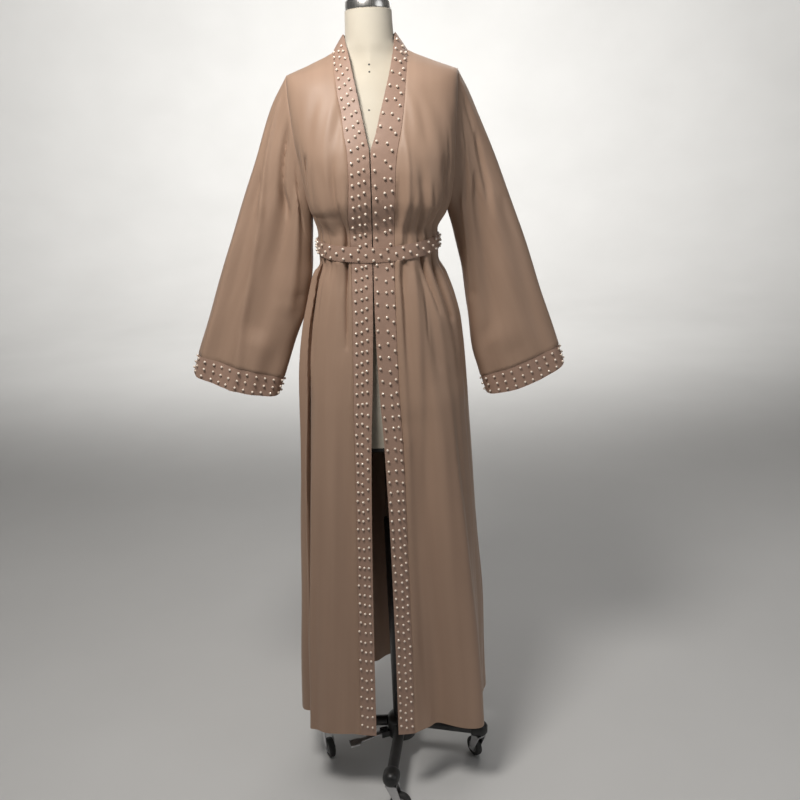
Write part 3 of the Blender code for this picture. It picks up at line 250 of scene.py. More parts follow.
# Narrow creases that run in under the belt, and soft folds on the chest, the skirt and the back.
SMALL_FOLDS = table(
    FOLD,
    # the wearer's right front, above the belt
    ("chest trough", -29, 1.575, -32, 1.450, -0.0010, -0.0018, 0.006, 0.008),
    ("chest fold", -37, 1.580, -38, 1.445, 0.0014, 0.0020, 0.006, 0.009),
    ("outer chest fold", -50, 1.570, -49, 1.450, -0.0010, -0.0020, 0.008, 0.010),
    ("armhole drag", -56, 1.490, -63, 1.262, -0.0056, -0.0070, 0.0042, 0.0042),
    ("armhole ridge", -49, 1.480, -55, 1.270, 0.0036, 0.0060, 0.0060, 0.0056),
    ("second drag", -47, 1.440, -56, 1.262, -0.0022, -0.0040, 0.0045, 0.0040),
    ("bust ridge", -38, 1.440, -41, 1.290, 0.0014, 0.0030, 0.0090, 0.0070),
    ("soft trough", -32, 1.445, -33, 1.300, -0.0026, -0.0030, 0.0050, 0.0050),
    ("crease", -33, 1.480, -31, 1.258, -0.0050, -0.0074, 0.0075, 0.0036),
    ("band ridge", -22, 1.420, -26, 1.262, 0.0016, 0.0026, 0.0050, 0.0042),
    ("small gather", -46, 1.325, -47, 1.262, -0.0010, -0.0036, 0.0040, 0.0034),
    ("drag foot", -76, 1.360, -80, 1.262, -0.0020, -0.0050, 0.0050, 0.0042),
    # the wearer's left front, above the belt
    ("chest fold", 40, 1.580, 33, 1.440, 0.0014, 0.0022, 0.006, 0.009),
    ("chest trough", 46, 1.570, 40, 1.440, -0.0014, -0.0026, 0.006, 0.008),
    ("seam fold", 26, 1.540, 22, 1.262, 0.0026, 0.0046, 0.0050, 0.0050),
    ("inner crease", 30, 1.400, 30, 1.262, -0.0012, -0.0034, 0.0050, 0.0042),
    ("inner fold foot", 34, 1.370, 42, 1.258, -0.0020, -0.0054, 0.0046, 0.0038),
    ("bust ridge", 37, 1.410, 47, 1.270, 0.0010, 0.0036, 0.0075, 0.0050),
    ("middle crease", 42, 1.405, 52, 1.260, -0.0018, -0.0054, 0.0046, 0.0038),
    ("outer ridge", 48, 1.415, 57, 1.270, 0.0010, 0.0034, 0.0080, 0.0055),
    ("armhole drag", 59, 1.510, 63, 1.262, -0.0032, -0.0054, 0.0050, 0.0042),
    ("side ridge", 66, 1.480, 68, 1.270, 0.0020, 0.0034, 0.0080, 0.0060),
    ("side gather", 74, 1.420, 76, 1.262, -0.0022, -0.0046, 0.0055, 0.0042),
    # the wearer's right front, below the belt
    ("band crease", -31, 1.258, -31, 1.060, -0.0064, -0.0030, 0.0036, 0.0042),
    ("ridge", -38, 1.250, -39, 1.000, 0.0030, 0.0020, 0.0060, 0.010),
    ("small fold head", -47, 1.262, -47, 1.180, -0.0036, -0.0010, 0.0034, 0.005),
    ("side fold head", -58, 1.262, -55, 1.080, -0.0048, -0.0014, 0.0040, 0.007),
    ("side crevice head", -68, 1.245, -61.5, 0.960, -0.0085, -0.0095, 0.0058, 0.0062),
    ("side crevice", -60.5, 0.990, -65.5, 0.000, -0.0080, -0.0120, 0.0060, 0.0066),
    ("side back strip", -80, 1.228, -72, 0.500, 0.0074, 0.0080, 0.0100, 0.012),
    ("crevice lip head", -69, 1.235, -56, 0.940, 0.0036, 0.0060, 0.0060, 0.0080),
    ("crevice lip", -55.5, 0.980, -60, 0.000, 0.0060, 0.0080, 0.0075, 0.0085),
    ("long flute", -45, 1.120, -43, 0.460, 0.0044, 0.0056, 0.014, 0.020),
    ("soft trough", -34, 1.020, -34, 0.340, -0.0040, -0.0070, 0.011, 0.016),
    ("low flute", -50, 0.620, -49, 0.000, 0.0020, 0.0070, 0.016, 0.022),
    # the wearer's left front, below the belt
    ("seam ridge", 19, 1.250, 15, 0.560, 0.0044, 0.0040, 0.0050, 0.010),
    ("first fold head", 25, 1.256, 22, 1.000, -0.0048, -0.0024, 0.0038, 0.006),
    ("first flute", 33, 1.240, 26, 0.900, 0.0030, 0.0030, 0.0060, 0.013),
    ("inner fold head", 42, 1.260, 55, 1.110, -0.0070, -0.0034, 0.0038, 0.0050),
    ("short crease", 43, 1.190, 40, 1.050, -0.0046, -0.0020, 0.0034, 0.0042),
    ("middle ridge", 49, 1.250, 59, 1.060, 0.0036, 0.0022, 0.0060, 0.010),
    ("outer fold head", 60, 1.262, 70, 1.030, -0.0070, -0.0028, 0.0042, 0.008),
    ("side fold head", 76, 1.262, 80, 1.120, -0.0050, -0.0014, 0.0042, 0.008),
    ("dark streak", 35, 1.120, 31, 0.600, -0.0036, -0.0076, 0.008, 0.013),
    ("long flute", 45, 1.060, 41, 0.400, 0.0050, 0.0090, 0.014, 0.018),
    ("low trough", 22, 0.820, 22, 0.150, -0.0030, -0.0080, 0.012, 0.016),
    ("outer trough", 58, 1.060, 61, 0.360, -0.0044, -0.0080, 0.012, 0.017),
    ("outer flute", 72, 1.020, 73, 0.400, 0.0034, 0.0070, 0.014, 0.018),
    # the back
    ("upper left fold", 150, 1.570, 146, 1.400, 0.0010, 0.0028, 0.010, 0.012),
    ("upper left trough", 138, 1.560, 140, 1.380, -0.0010, -0.0030, 0.010, 0.012),
    ("upper right fold", -148, 1.565, -146, 1.410, 0.0010, 0.0028, 0.010, 0.012),
    ("upper right trough", -136, 1.550, -139, 1.390, -0.0010, -0.0028, 0.010, 0.012),
    ("yoke trough", 180, 1.570, 177, 1.380, -0.0010, -0.0028, 0.012, 0.014),
    ("left armhole drag", 122, 1.500, 110, 1.275, -0.0018, -0.0046, 0.007, 0.0050),
    ("right armhole drag", -120, 1.500, -108, 1.275, -0.0018, -0.0046, 0.007, 0.0050),
    ("left drag foot", 126, 1.370, 129, 1.262, -0.0012, -0.0052, 0.006, 0.0042),
    ("left ridge foot", 135, 1.390, 137, 1.268, 0.0010, 0.0034, 0.009, 0.0060),
    ("left small gather", 142, 1.340, 144, 1.264, -0.0006, -0.0036, 0.006, 0.0040),
    ("left gather foot", 153, 1.390, 157, 1.262, -0.0014, -0.0038, 0.006, 0.0042),
    ("left inner ridge", 163, 1.390, 166, 1.270, 0.0010, 0.0034, 0.009, 0.0060),
    ("centre foot", 174, 1.380, 175, 1.262, -0.0012, -0.0050, 0.006, 0.0042),
    ("right inner ridge", -171, 1.370, -168, 1.270, 0.0008, 0.0030, 0.009, 0.0060),
    ("right gather foot", -153, 1.380, -150, 1.262, -0.0012, -0.0040, 0.006, 0.0042),
    ("right small gather", -138, 1.340, -140, 1.264, -0.0006, -0.0036, 0.006, 0.0040),
    ("right ridge foot", -131, 1.380, -134, 1.270, 0.0010, 0.0032, 0.009, 0.0060),
    ("right drag foot", -124, 1.360, -127, 1.262, -0.0012, -0.0052, 0.006, 0.0042),
    ("right side gather", -95, 1.350, -97, 1.264, -0.0006, -0.0036, 0.006, 0.0040),
    ("left side gather", 95, 1.350, 96, 1.264, -0.0006, -0.0036, 0.006, 0.0040),
    ("left side head", 107, 1.262, 104, 1.110, -0.0044, -0.0010, 0.0040, 0.009),
    ("left outer head", 128, 1.262, 126, 1.060, -0.0060, -0.0018, 0.0045, 0.010),
    ("left head ridge", 137, 1.250, 136, 1.020, 0.0030, 0.0024, 0.0060, 0.014),
    ("left small head", 145, 1.262, 148, 1.150, -0.0036, -0.0006, 0.0038, 0.008),
    ("left inner head", 160, 1.262, 162, 1.070, -0.0058, -0.0018, 0.0045, 0.010),
    ("centre head ridge", 168, 1.250, 170, 1.040, 0.0028, 0.0020, 0.0060, 0.012),
    ("centre head", 176, 1.262, 176, 1.120, -0.0044, -0.0008, 0.0040, 0.009),
    ("right inner head", -158, 1.262, -160, 1.080, -0.0058, -0.0018, 0.0045, 0.010),
    ("right head ridge", -150, 1.250, -150, 1.030, 0.0028, 0.0022, 0.0060, 0.013),
    ("right small head", -142, 1.262, -140, 1.150, -0.0036, -0.0006, 0.0038, 0.008),
    ("right outer head", -126, 1.262, -123, 1.070, -0.0060, -0.0018, 0.0045, 0.010),
    ("right side head", -104, 1.262, -101, 1.120, -0.0044, -0.0010, 0.0040, 0.009),
    ("left low trough", 134, 0.980, 134, 0.300, -0.0016, -0.0040, 0.014, 0.020),
    ("left long flute", 153, 1.060, 153, 0.380, 0.0024, 0.0046, 0.014, 0.022),
    ("centre low trough", 174, 0.980, 173, 0.250, -0.0016, -0.0044, 0.014, 0.020),
    ("right long flute", -169, 1.040, -170, 0.420, 0.0022, 0.0042, 0.014, 0.020),
    ("right low trough", -148, 0.960, -148, 0.260, -0.0018, -0.0042, 0.014, 0.020),
    ("right outer flute", -113, 1.040, -111, 0.360, 0.0022, 0.0044, 0.014, 0.022),
    ("left outer flute", 113, 1.060, 113, 0.340, 0.0022, 0.0044, 0.014, 0.022),
)

# A faint unevenness over the whole cloth.
WAVES = table(
    "turns rise phase size",
    (7, 3.0, 0.4, 0.00060),
    (13, -2.5, 2.1, 0.00060),
    (21, 4.0, 4.0, 0.00045),
    (5, -17.0, 1.2, 0.00040),
    (34, 2.0, 0.9, 0.00026),
)
WAVE_GROWTH = 2.4  # how many times larger it is at the hem

SLEEVE_ROW = "name along outer_x outer_z inner_x inner_z y half_depth"
SLEEVES = {
    RIGHT: table(
        SLEEVE_ROW,
        ("armhole", 0.00, -0.1695, 1.6030, -0.1355, 1.3300, 0.005, 0.052),
        ("upper arm", 0.12, -0.2010, 1.5530, -0.1385, 1.2850, 0.012, 0.050),
        ("above elbow", 0.35, -0.2540, 1.4250, -0.1455, 1.2080, 0.014, 0.045),
        ("elbow", 0.60, -0.3150, 1.2750, -0.1630, 1.1310, 0.012, 0.041),
        ("forearm", 0.82, -0.3680, 1.1350, -0.1960, 1.0500, 0.008, 0.039),
        ("cuff seam", 1.00, -0.4030, 1.0440, -0.2190, 0.9840, 0.006, 0.039),
    ),
    LEFT: table(
        SLEEVE_ROW,
        ("armhole", 0.00, 0.1735, 1.6030, 0.1450, 1.3300, 0.005, 0.052),
        ("upper arm", 0.12, 0.1960, 1.5600, 0.1560, 1.2880, 0.018, 0.050),
        ("above elbow", 0.35, 0.2480, 1.4350, 0.1740, 1.2040, 0.030, 0.045),
        ("elbow", 0.60, 0.3080, 1.2700, 0.1860, 1.1080, 0.036, 0.041),
        ("forearm", 0.82, 0.3560, 1.1200, 0.1960, 1.0200, 0.038, 0.039),
        ("cuff seam", 1.00, 0.3880, 1.0240, 0.2120, 0.9600, 0.038, 0.039),
    ),
}
# A sleeve's folds run between two places given by the share of its length and the turn
# round it: 0 on the shoulder side, 90 in front, 180 under the arm and 270 behind.
SLEEVE_FOLD = "name start start_turn end end_turn depth end_depth width end_width"
SLEEVE_FOLDS = {
    RIGHT: table(
        SLEEVE_FOLD,
        ("shoulder crease", 0.03, 32, 0.46, 65, 0.0030, 0.0070, 0.0070, 0.0095),
        ("pressed crease", 0.34, 61, 1.0, 88, 0.0046, 0.0070, 0.0080, 0.0052),
        ("upper dark flute", 0.02, 66, 0.32, 92, -0.0070, -0.0150, 0.008, 0.013),
        ("dark flute", 0.20, 92, 0.88, 98, -0.0150, -0.0060, 0.013, 0.020),
        ("inner ridge", 0.08, 112, 0.72, 128, 0.0070, 0.0050, 0.011, 0.016),
        ("armhole crease", 0.02, 96, 0.24, 138, -0.0040, -0.0030, 0.006, 0.010),
        ("outer trough", 0.30, 44, 1.0, 62, -0.0050, -0.0090, 0.012, 0.018),
        ("outer ridge", 0.16, 24, 1.0, 34, 0.0026, 0.0050, 0.010, 0.012),
        ("cuff ridge", 0.62, 108, 1.0, 106, 0.0010, 0.0036, 0.012, 0.016),
        ("elbow break", 0.50, 152, 0.66, 116, -0.0012, -0.0006, 0.012, 0.016),
        ("cuff flute", 0.70, 132, 1.0, 126, -0.0008, -0.0040, 0.016, 0.020),
        ("back shoulder crease", 0.04, 326, 0.44, 298, 0.0010, 0.0030, 0.006, 0.0080),
        ("back crease", 0.36, 300, 1.0, 272, 0.0018, 0.0028, 0.006, 0.0038),
        ("back dark flute", 0.04, 296, 0.90, 246, -0.0040, -0.0044, 0.012, 0.022),
        ("back inner ridge", 0.08, 256, 0.74, 226, 0.0030, 0.0026, 0.010, 0.016),
        ("back armhole crease", 0.02, 264, 0.24, 224, -0.0038, -0.0028, 0.006, 0.010),
        ("back outer trough", 0.36, 316, 1.0, 302, -0.0030, -0.0054, 0.012, 0.018),
        ("back cuff flute", 0.70, 232, 1.0, 236, -0.0008, -0.0038, 0.016, 0.020),
    ),
    LEFT: table(
        SLEEVE_FOLD,
        ("cap facet", 0.00, 27, 0.26, 39, 0.0022, 0.0012, 0.009, 0.008),
        ("cap drag", 0.05, 40, 0.24, 58, -0.0022, -0.0036, 0.006, 0.008),
        ("cap fold", 0.18, 50, 0.46, 78, -0.0090, -0.0040, 0.009, 0.014),
        ("armhole streak", 0.04, 52, 0.24, 114, -0.0034, -0.0026, 0.006, 0.010),
        ("armhole light", 0.05, 74, 0.34, 100, 0.0026, 0.0026, 0.008, 0.012),
        ("front dark flute", 0.22, 84, 0.84, 116, -0.0086, -0.0060, 0.014, 0.024),
        ("front light flute", 0.34, 64, 0.94, 92, 0.0030, 0.0026, 0.014, 0.022),
        ("inner rim", 0.12, 112, 0.62, 158, 0.0034, 0.0028, 0.009, 0.012),
        ("outer trough", 0.42, 46, 1.0, 58, -0.0020, -0.0046, 0.014, 0.018),
        ("elbow break", 0.48, 152, 0.64, 120, -0.0024, -0.0008, 0.010, 0.014),
        ("cuff ridge", 0.70, 104, 1.0, 100, 0.0008, 0.0030, 0.014, 0.018),
        ("cuff flute", 0.70, 136, 1.0, 130, -0.0008, -0.0038, 0.016, 0.020),
        ("back shoulder crease", 0.04, 326, 0.44, 300, 0.0010, 0.0030, 0.006, 0.0080),
        ("back crease", 0.38, 302, 1.0, 272, 0.0014, 0.0024, 0.006, 0.0042),
        ("back dark flute", 0.04, 294, 0.90, 248, -0.0040, -0.0042, 0.012, 0.022),
        ("back inner ridge", 0.08, 254, 0.74, 224, 0.0030, 0.0026, 0.010, 0.016),
        ("back armhole crease", 0.02, 262, 0.24, 222, -0.0038, -0.0028, 0.006, 0.010),
        ("back outer trough", 0.38, 318, 1.0, 304, -0.0028, -0.0050, 0.012, 0.018),
        ("back cuff flute", 0.70, 230, 1.0, 234, -0.0008, -0.0036, 0.016, 0.020),
    ),
}

# The pearls run down each band three to a row. Of each pearl: its share of the way from the
# free edge to the seam, and how far down the row it lies as a share of the pitch.
PEARL_ROW = "name z pitch edge edge_fall middle middle_fall seam seam_fall"
BAND_PEARLS = {
    RIGHT: table(
        PEARL_ROW,
        ("neck", 1.650, 0.0215, 0.24, 0.35, 0.50, 0.70, 0.80, 0.00),
        ("chest", 1.480, 0.0215, 0.24, 0.35, 0.50, 0.70, 0.80, 0.00),
        ("foot of the V", 1.420, 0.0210, 0.28, 0.66, 0.52, 0.87, 0.81, 0.00),
        ("waist", 1.250, 0.0212, 0.29, 0.66, 0.53, 0.87, 0.81, 0.00),
        ("hip", 1.000, 0.0212, 0.28, 0.70, 0.54, 0.90, 0.81, 0.00),
        ("seat", 0.900, 0.0212, 0.24, 1.50, 0.53, 1.02, 0.82, 0.00),
        ("thigh", 0.780, 0.0212, 0.22, 1.74, 0.54, 1.10, 0.84, 0.00),
        ("knee", 0.560, 0.0218, 0.20, 2.16, 0.52, 1.06, 0.84, 0.00),
        ("calf", 0.400, 0.0232, 0.20, 2.08, 0.52, 1.14, 0.84, 0.00),
        ("hem", 0.175, 0.0232, 0.22, 2.36, 0.52, 1.20, 0.84, 0.00),
    ),
    LEFT: table(
        PEARL_ROW,
        ("neck", 1.650, 0.0275, 0.15, 0.00, 0.54, 0.05, 0.78, 0.45),
        ("chest", 1.500, 0.0275, 0.15, 0.00, 0.54, 0.05, 0.78, 0.45),
        ("foot of the V", 1.448, 0.0272, 0.15, 0.00, 0.54, 0.36, 0.78, 0.80),
        ("bust", 1.400, 0.0270, 0.15, 0.00, 0.54, 0.65, 0.80, 0.56),
        ("waist", 1.270, 0.0265, 0.16, 0.00, 0.54, 0.62, 0.82, 0.50),
        ("below the belt", 1.238, 0.0265, 0.14, 0.00, 0.56, 0.33, 0.86, 0.03),
        ("upper hip", 1.165, 0.0265, 0.14, 0.00, 0.56, 0.12, 0.86, 0.08),
        ("hip bone", 1.100, 0.0262, 0.14, 0.00, 0.57, -0.04, 0.84, 0.48),
        ("hip", 1.000, 0.0255, 0.14, 0.00, 0.58, 0.20, 0.84, 0.96),
        ("thigh", 0.850, 0.0235, 0.14, 0.00, 0.55, -0.15, 0.84, 1.05),
        ("knee", 0.600, 0.0200, 0.15, 0.00, 0.52, 0.16, 0.82, 0.92),
        ("hem", 0.175, 0.0195, 0.16, 0.00, 0.50, 0.34, 0.84, 1.16),
    ),
}
PEARL_SEED = 21
PEARLS_START = 0.019  # the first row lies this far below the neck point
BELT_CLEAR, HEM_CLEAR = 0.0035, 0.005  # no pearl is sewn on nearer to the belt or the hem
SHARE_SLIP, ROW_SLIP = 0.020, 0.0010  # how far a band's pearls stray across it and along it
RING_SHARE_SLIP, RING_SLIP = 0.012, 0.0007  # and those of the belt and the cuffs
BELT_PEARL_PITCH, CUFF_PEARL_PITCH = 0.0300, 0.0195
# Rows round a ring: how far across its width, and how far along as a share of the pitch.
CUFF_PEARLS = ((0.16, 0.0), (0.50, 0.06), (0.83, 0.0))
BELT_PEARLS = ((0.17, 0.0), (0.50, 0.5), (0.83, 0.0))

# ---------------- the dress form and the stand
FORM = table(
    "name z half_width front back square",
    ("neck top", 1.7155, 0.0462, 0.0452, 0.0470, 2.00),
    ("neck", 1.6800, 0.0475, 0.0455, 0.0480, 2.00),
    ("neck foot", 1.6570, 0.0500, 0.0475, 0.0505, 1.95),
    ("neck base", 1.6365, 0.0715, 0.0490, 0.0515, 1.45),
    ("shoulder slope", 1.6175, 0.1195, 0.0550, 0.0640, 1.17),
    ("shoulder end", 1.6035, 0.1560, 0.0600, 0.0750, 1.25),
    ("shoulder turn", 1.5970, 0.1610, 0.0640, 0.0790, 1.35),
    ("arm plate top", 1.5850, 0.1620, 0.0700, 0.0840, 1.60),
    ("arm plate", 1.5500, 0.1560, 0.0840, 0.0960, 2.00),
    ("chest", 1.5000, 0.1490, 0.1040, 0.1050, 2.25),
    ("upper bust", 1.4500, 0.1430, 0.1220, 0.1070, 2.35),
    ("bust", 1.4100, 0.1380, 0.1280, 0.1060, 2.35),
    ("under bust", 1.3600, 0.1290, 0.1220, 0.1010, 2.30),
    ("ribs", 1.3000, 0.1180, 0.1040, 0.0920, 2.20),
    ("waist", 1.2620, 0.1150, 0.0985, 0.0890, 2.20),
    ("waist foot", 1.2350, 0.1155, 0.0985, 0.0895, 2.20),
    ("upper hip", 1.1800, 0.1260, 0.1010, 0.1010, 2.20),
    ("hip bone", 1.1000, 0.1440, 0.1070, 0.1200, 2.25),
    ("hip", 1.0200, 0.1550, 0.1110, 0.1290, 2.30),
    ("seat", 0.9600, 0.1570, 0.1110, 0.1270, 2.30),
    ("form bottom", 0.8450, 0.1500, 0.1050, 0.1130, 2.30),
)
FORM_SIDES, FORM_ROWS = 96, 112
NECK_SEAM, NECK_SEAM_DIP, NECK_SEAM_WIDTH = 1.662, 0.0007, 0.0035
MARKER_RADIUS = 0.0019
# The small dark marks down the form's front: how far to the left, and how high.
MARKERS = ((-0.002, 1.6125), (-0.002, 1.5985), (-0.0055, 1.5270))
MARKER_PROFILE = ((MARKER_RADIUS, -0.0003), (MARKER_RADIUS, 0.0002), (0.0012, 0.0004))
MARKER_SIDES, SLOPE_STEP = 20, 0.002
SEAM = 0.0003
PLATE_THICKNESS, PLATE_INSET, PLATE_ROUNDING = 0.008, 0.0006, 0.0015
NECK_CAP = table(
    "rise inset",
    (0.0225, 0.0300),
    (0.0223, 0.0190),
    (0.0214, 0.0100),
    (0.0196, 0.0048),
    (0.0168, 0.0022),
    (0.0130, 0.0013),
    (0.0030, 0.0012),
    (0.0012, 0.0014),
    (0.0000, 0.0024),
)

LEG_TURN = math.radians(8)
LEG_REACH = 0.190
HUB_RADIUS, HUB_BOTTOM, HUB_TOP = 0.034, 0.062, 0.118
COLUMN_RADIUS, COLUMN_BORE, COLUMN_TOP = 0.0190, 0.0131, 0.640
POLE_RADIUS, POLE_BOTTOM = 0.0125, 0.330
FORM_BOTTOM = 0.845
LEG_RADIUS = 0.013
LEG_START, LEG_END = 0.034, 0.171
LEG_HEIGHT_IN, LEG_HEIGHT_OUT = 0.098, 0.086
CAP_HALF_LENGTH, CAP_HALF_WIDTH, CAP_HALF_HEIGHT = 0.0200, 0.0195, 0.0190
CAP_FOOT = 0.0690
WHEEL_RADIUS, WHEEL_WIDTH = 0.0240, 0.0170
CASTOR_TRAIL = 0.020
FORK_INNER, FORK_PLATE, FORK_CROWN = 0.0180, 0.0022, 0.0030
FORK_FOOT = 0.017
FORK_CROWN_HALF, FORK_FOOT_HALF = 0.013, 0.008
BOLT_RADIUS, BOLT_HEIGHT = 0.0042, 0.0022
PEDAL_TURN = math.radians(-73)
PEDAL_PIVOT_REACH, PEDAL_PIVOT_HEIGHT = 0.047, 0.076
PEDAL_THICKNESS = 0.0045
BRACKET_HALF, BRACKET_PLATE = 0.0085, 0.0025
BRACKET_HALF_HEIGHT, BRACKET_NEAR, BRACKET_FAR = 0.008, 0.0343, 0.054
TUBE_SIDES, LEG_SIDES, CAP_SIDES, WHEEL_SIDES = 64, 32, 40, 56
CAP_ROWS = 18
ROUND_EDGE, HARD_EDGE, CAP_EDGE = 40, 30, 50  # degrees past which an edge is drawn sharp
UP = Vector((0, 0, 1))
# The tyre's half profile from its edge in, and a wheel disc's: radius, and how far out.
TREAD = (
    (WHEEL_RADIUS, 0.0040),
    (WHEEL_RADIUS - 0.0007, 0.0058),
    (WHEEL_RADIUS - 0.0022, 0.0070),
    (WHEEL_RADIUS - 0.0045, 0.0078),
    (WHEEL_RADIUS - 0.0080, 0.0079),
    (WHEEL_RADIUS - 0.0086, 0.0066),
    (0.0060, 0.0066),
)
WHEEL_DISC = (
    (0.0142, 0.0062),
    (0.0142, 0.0072),
    (0.0132, 0.0076),
    (0.0082, 0.0076),
    (0.0072, WHEEL_WIDTH / 2 - SEAM),
    (0.0040, WHEEL_WIDTH / 2 - SEAM),
)
FORK_ROUNDING, BOLT_ROUNDING = 0.0007, 0.0005
BRACKET_ROUNDING, LEVER_ROUNDING = 0.0006, 0.0008
RIB_MARGIN = 0.7  # beyond the first and last ribs, as a share of their spacing
PEDAL_RIBS, RIB_HALF, RIB_SINK = 4, 0.0010, 0.0004
RIB_PROFILE = ((-0.0100, 0.0), (-0.0090, 0.0010), (0.0090, 0.0010), (0.0100, 0.0))

CASTORS = table(
    "name leg trail",
    ("front", 0, 75),
    ("left", 3, -150),
    ("back", 2, 110),
    ("right", 1, 22),
)
END_CAP = table(
    "along size",
    (-1.00, 0.80),
    (-0.92, 0.93),
    (-0.40, 1.00),
    (0.30, 0.97),
    (0.75, 0.78),
    (1.00, 0.42),
)
PEDAL = table(
    "name reach half_width drop",
    ("pivot end", -0.005, 0.0080, 0.000),
    ("pivot", 0.006, 0.0080, 0.000),
    ("lever", 0.014, 0.0060, 0.001),
    ("lever end", 0.058, 0.0060, 0.008),
    ("foot plate", 0.063, 0.0125, 0.010),
    ("foot plate end", 0.086, 0.0120, 0.011),
)

# ---------------- camera and light
CAMERA_AT = (0.030, -1.870, 1.456)
CAMERA_PITCH, CAMERA_ROLL = 16.0, 2.45
CAMERA_LENS = 39.6
SENSOR_WIDTH = 36.0
LIGHTS = table(
    "name at towards size spread energy colour",
    ("key", (-0.46, -0.94, 2.48), (0.0, -0.05, 1.22), 0.55, 180, 28.5, (1.00, 0.97, 0.93)),
    ("overhead", (0.0, 0.3, 4.6), (0.0, 0.3, 0.0), 4.5, 180, 40.0, (1.00, 0.98, 0.96)),
    ("fill", (2.2, -1.4, 1.9), (0.0, 0.0, 1.1), 1.6, 180, 8.0, (0.95, 0.97, 1.00)),
    ("rim", (0.9, 2.0, 2.6), (0.0, 0.0, 1.1), 1.4, 180, 8.0, (1.00, 0.98, 0.95)),
    ("backdrop", (0.0, 1.0, 5.2), (0.0, 9.5, 2.2), 3.0, 110, 420.0, (1.00, 0.99, 0.97)),
)
WORLD_LIGHT, WORLD_COLOUR = 0.065, (0.96, 0.98, 1.0, 1.0)
FLOOR_RINGS = (1.5, 3.5, 6.0)
BOWL_RADIUS, BOWL_ROWS, BOWL_TOP = 4.0, 12, 7.0
STAGE_SIDES = 96

# ---------------- curves


def smooth(rows, column, at, key="z"):
    """A named column at each place, on a curve through the rows that never overshoots."""
    places = np.array([getattr(row, key) for row in rows])
    values = np.array([getattr(row, column) for row in rows])
    if places[0] > places[-1]:
        places, values = places[::-1], values[::-1]
    at = np.clip(at, places[0], places[-1])
    slopes = np.diff(values) / np.diff(places)
    before, after = slopes[:-1], slopes[1:]
    turns_back = before * after <= 0
    total = np.where(turns_back, 1.0, before + after)
    inside = np.where(turns_back, 0.0, 2 * before * after / total)
    tangents = np.concatenate((slopes[:1], inside, slopes[-1:]))
    i = np.clip(np.searchsorted(places, at, side="right") - 1, 0, len(slopes) - 1)
    span = places[i + 1] - places[i]
    t = (at - places[i]) / span
    return (
        (2 * t**3 - 3 * t**2 + 1) * values[i]
        + (t**3 - 2 * t**2 + t) * span * tangents[i]
        + (3 * t**2 - 2 * t**3) * values[i + 1]
        + (t**3 - t**2) * span * tangents[i + 1]
    )


def ease(t):
    """0 to 1 with no corner at either end."""
    t = np.clip(t, 0.0, 1.0)
    return t * t * (3 - 2 * t)


def mix(a, b, t):
    return a + (b - a) * t


def shares(count):
    return np.arange(count + 1) / count


def seam_shares(count, first=True):
    """Even shares, but the places next to a seam drawn close to it."""
    made = shares(count)
    made[-2] = 1 - SEAM_SIDE / count
    if first:
        made[1] = SEAM_SIDE / count
    return made


def steps(start, end, count):
    """count values after start, evenly spaced, the last of them end."""
    return mix(start, end, shares(count)[1:])


def points(x, y, z):
    return np.stack(np.broadcast_arrays(x, y, z), axis=-1).astype(float)


def unit(vectors):
    return vectors / np.linalg.norm(vectors, axis=-1, keepdims=True)


def lengths_along(line):
    """The distance from the start of a line of points to each of them."""
    return np.concatenate(([0.0], np.cumsum(np.linalg.norm(np.diff(line, axis=0), axis=-1))))


def grid_normals(grid, ring):
    """Down the rows crossed with along the columns."""
    down = np.gradient(grid, axis=0)
    if ring:
        across = np.roll(grid, -1, axis=1) - np.roll(grid, 1, axis=1)
    else:
        across = np.gradient(grid, axis=1)
    return unit(np.cross(down, across))


def sample(grid, row, column, ring=False):
    """The grid's values at fractional rows and columns."""
    i = np.clip(np.floor(row).astype(int), 0, len(grid) - 2)
    columns = grid.shape[1]
    j = np.floor(column).astype(int)
    if not ring:
        j = np.clip(j, 0, columns - 2)
    down, across = (row - i)[..., None], (column - j)[..., None]
    k = (j + 1) % columns
    j = j % columns
    upper = mix(grid[i, j], grid[i, k], across)
    lower = mix(grid[i + 1, j], grid[i + 1, k], across)
    return mix(upper, lower, down)


# ---------------- the cloth's surface


def pushed_out(grid, depth):
    """The places moved away from the upright axis."""
    level = grid * (1.0, 1.0, 0.0)
    radius = np.linalg.norm(level, axis=-1, keepdims=True)
    return grid + level / radius * np.asarray(depth)[..., None]


def end_fade(distance, end, length, fade_over, slow):
    """How fully a fold is there at a distance inside one of its ends.

    It starts and stops quickly at the belt and the hem. Elsewhere it takes a share of its length.
    """
    if abs(end - WAIST) > BELT_REACH and end > HEM_HEIGHT:
        fade_over = max(fade_over, slow * length)
    return ease(distance / fade_over)


def ridge(fold, share, angle, middle, radius):
    """A fold's depth at a share of its run, by how far the angle lies from its middle line."""
    away = np.abs((angle - middle + np.pi) % (2 * np.pi) - np.pi) * radius
    depth = mix(fold.depth, fold.end_depth, share)
    return depth * np.exp(-((away / mix(fold.width, fold.end_width, share)) ** 2))


def fold_depth(grid, folds, fade_over, bow=0.0, slow=0.0):
    """How far the folds push the cloth out. bow is how far the middle of one may wander."""
    angle = np.arctan2(grid[..., 0], -grid[..., 1])
    radius = np.hypot(grid[..., 0], grid[..., 1])
    z = grid[..., 2]
    total = np.zeros_like(z)
    for number, fold in enumerate(folds):
        length = fold.top_z - fold.low_z
        along = np.clip((fold.top_z - z) / length, 0.0, 1.0)
        wander = bow * math.sin(WANDER_STEP * number) * np.sin(np.pi * along)
        middle = np.radians(mix(fold.top_angle, fold.low_angle, along) + wander)
        fade = end_fade(fold.top_z - z, fold.top_z, length, fade_over, slow)
        fade *= end_fade(z - fold.low_z, fold.low_z, length, fade_over, slow)
        total += ridge(fold, along, angle, middle, radius) * fade
    return total


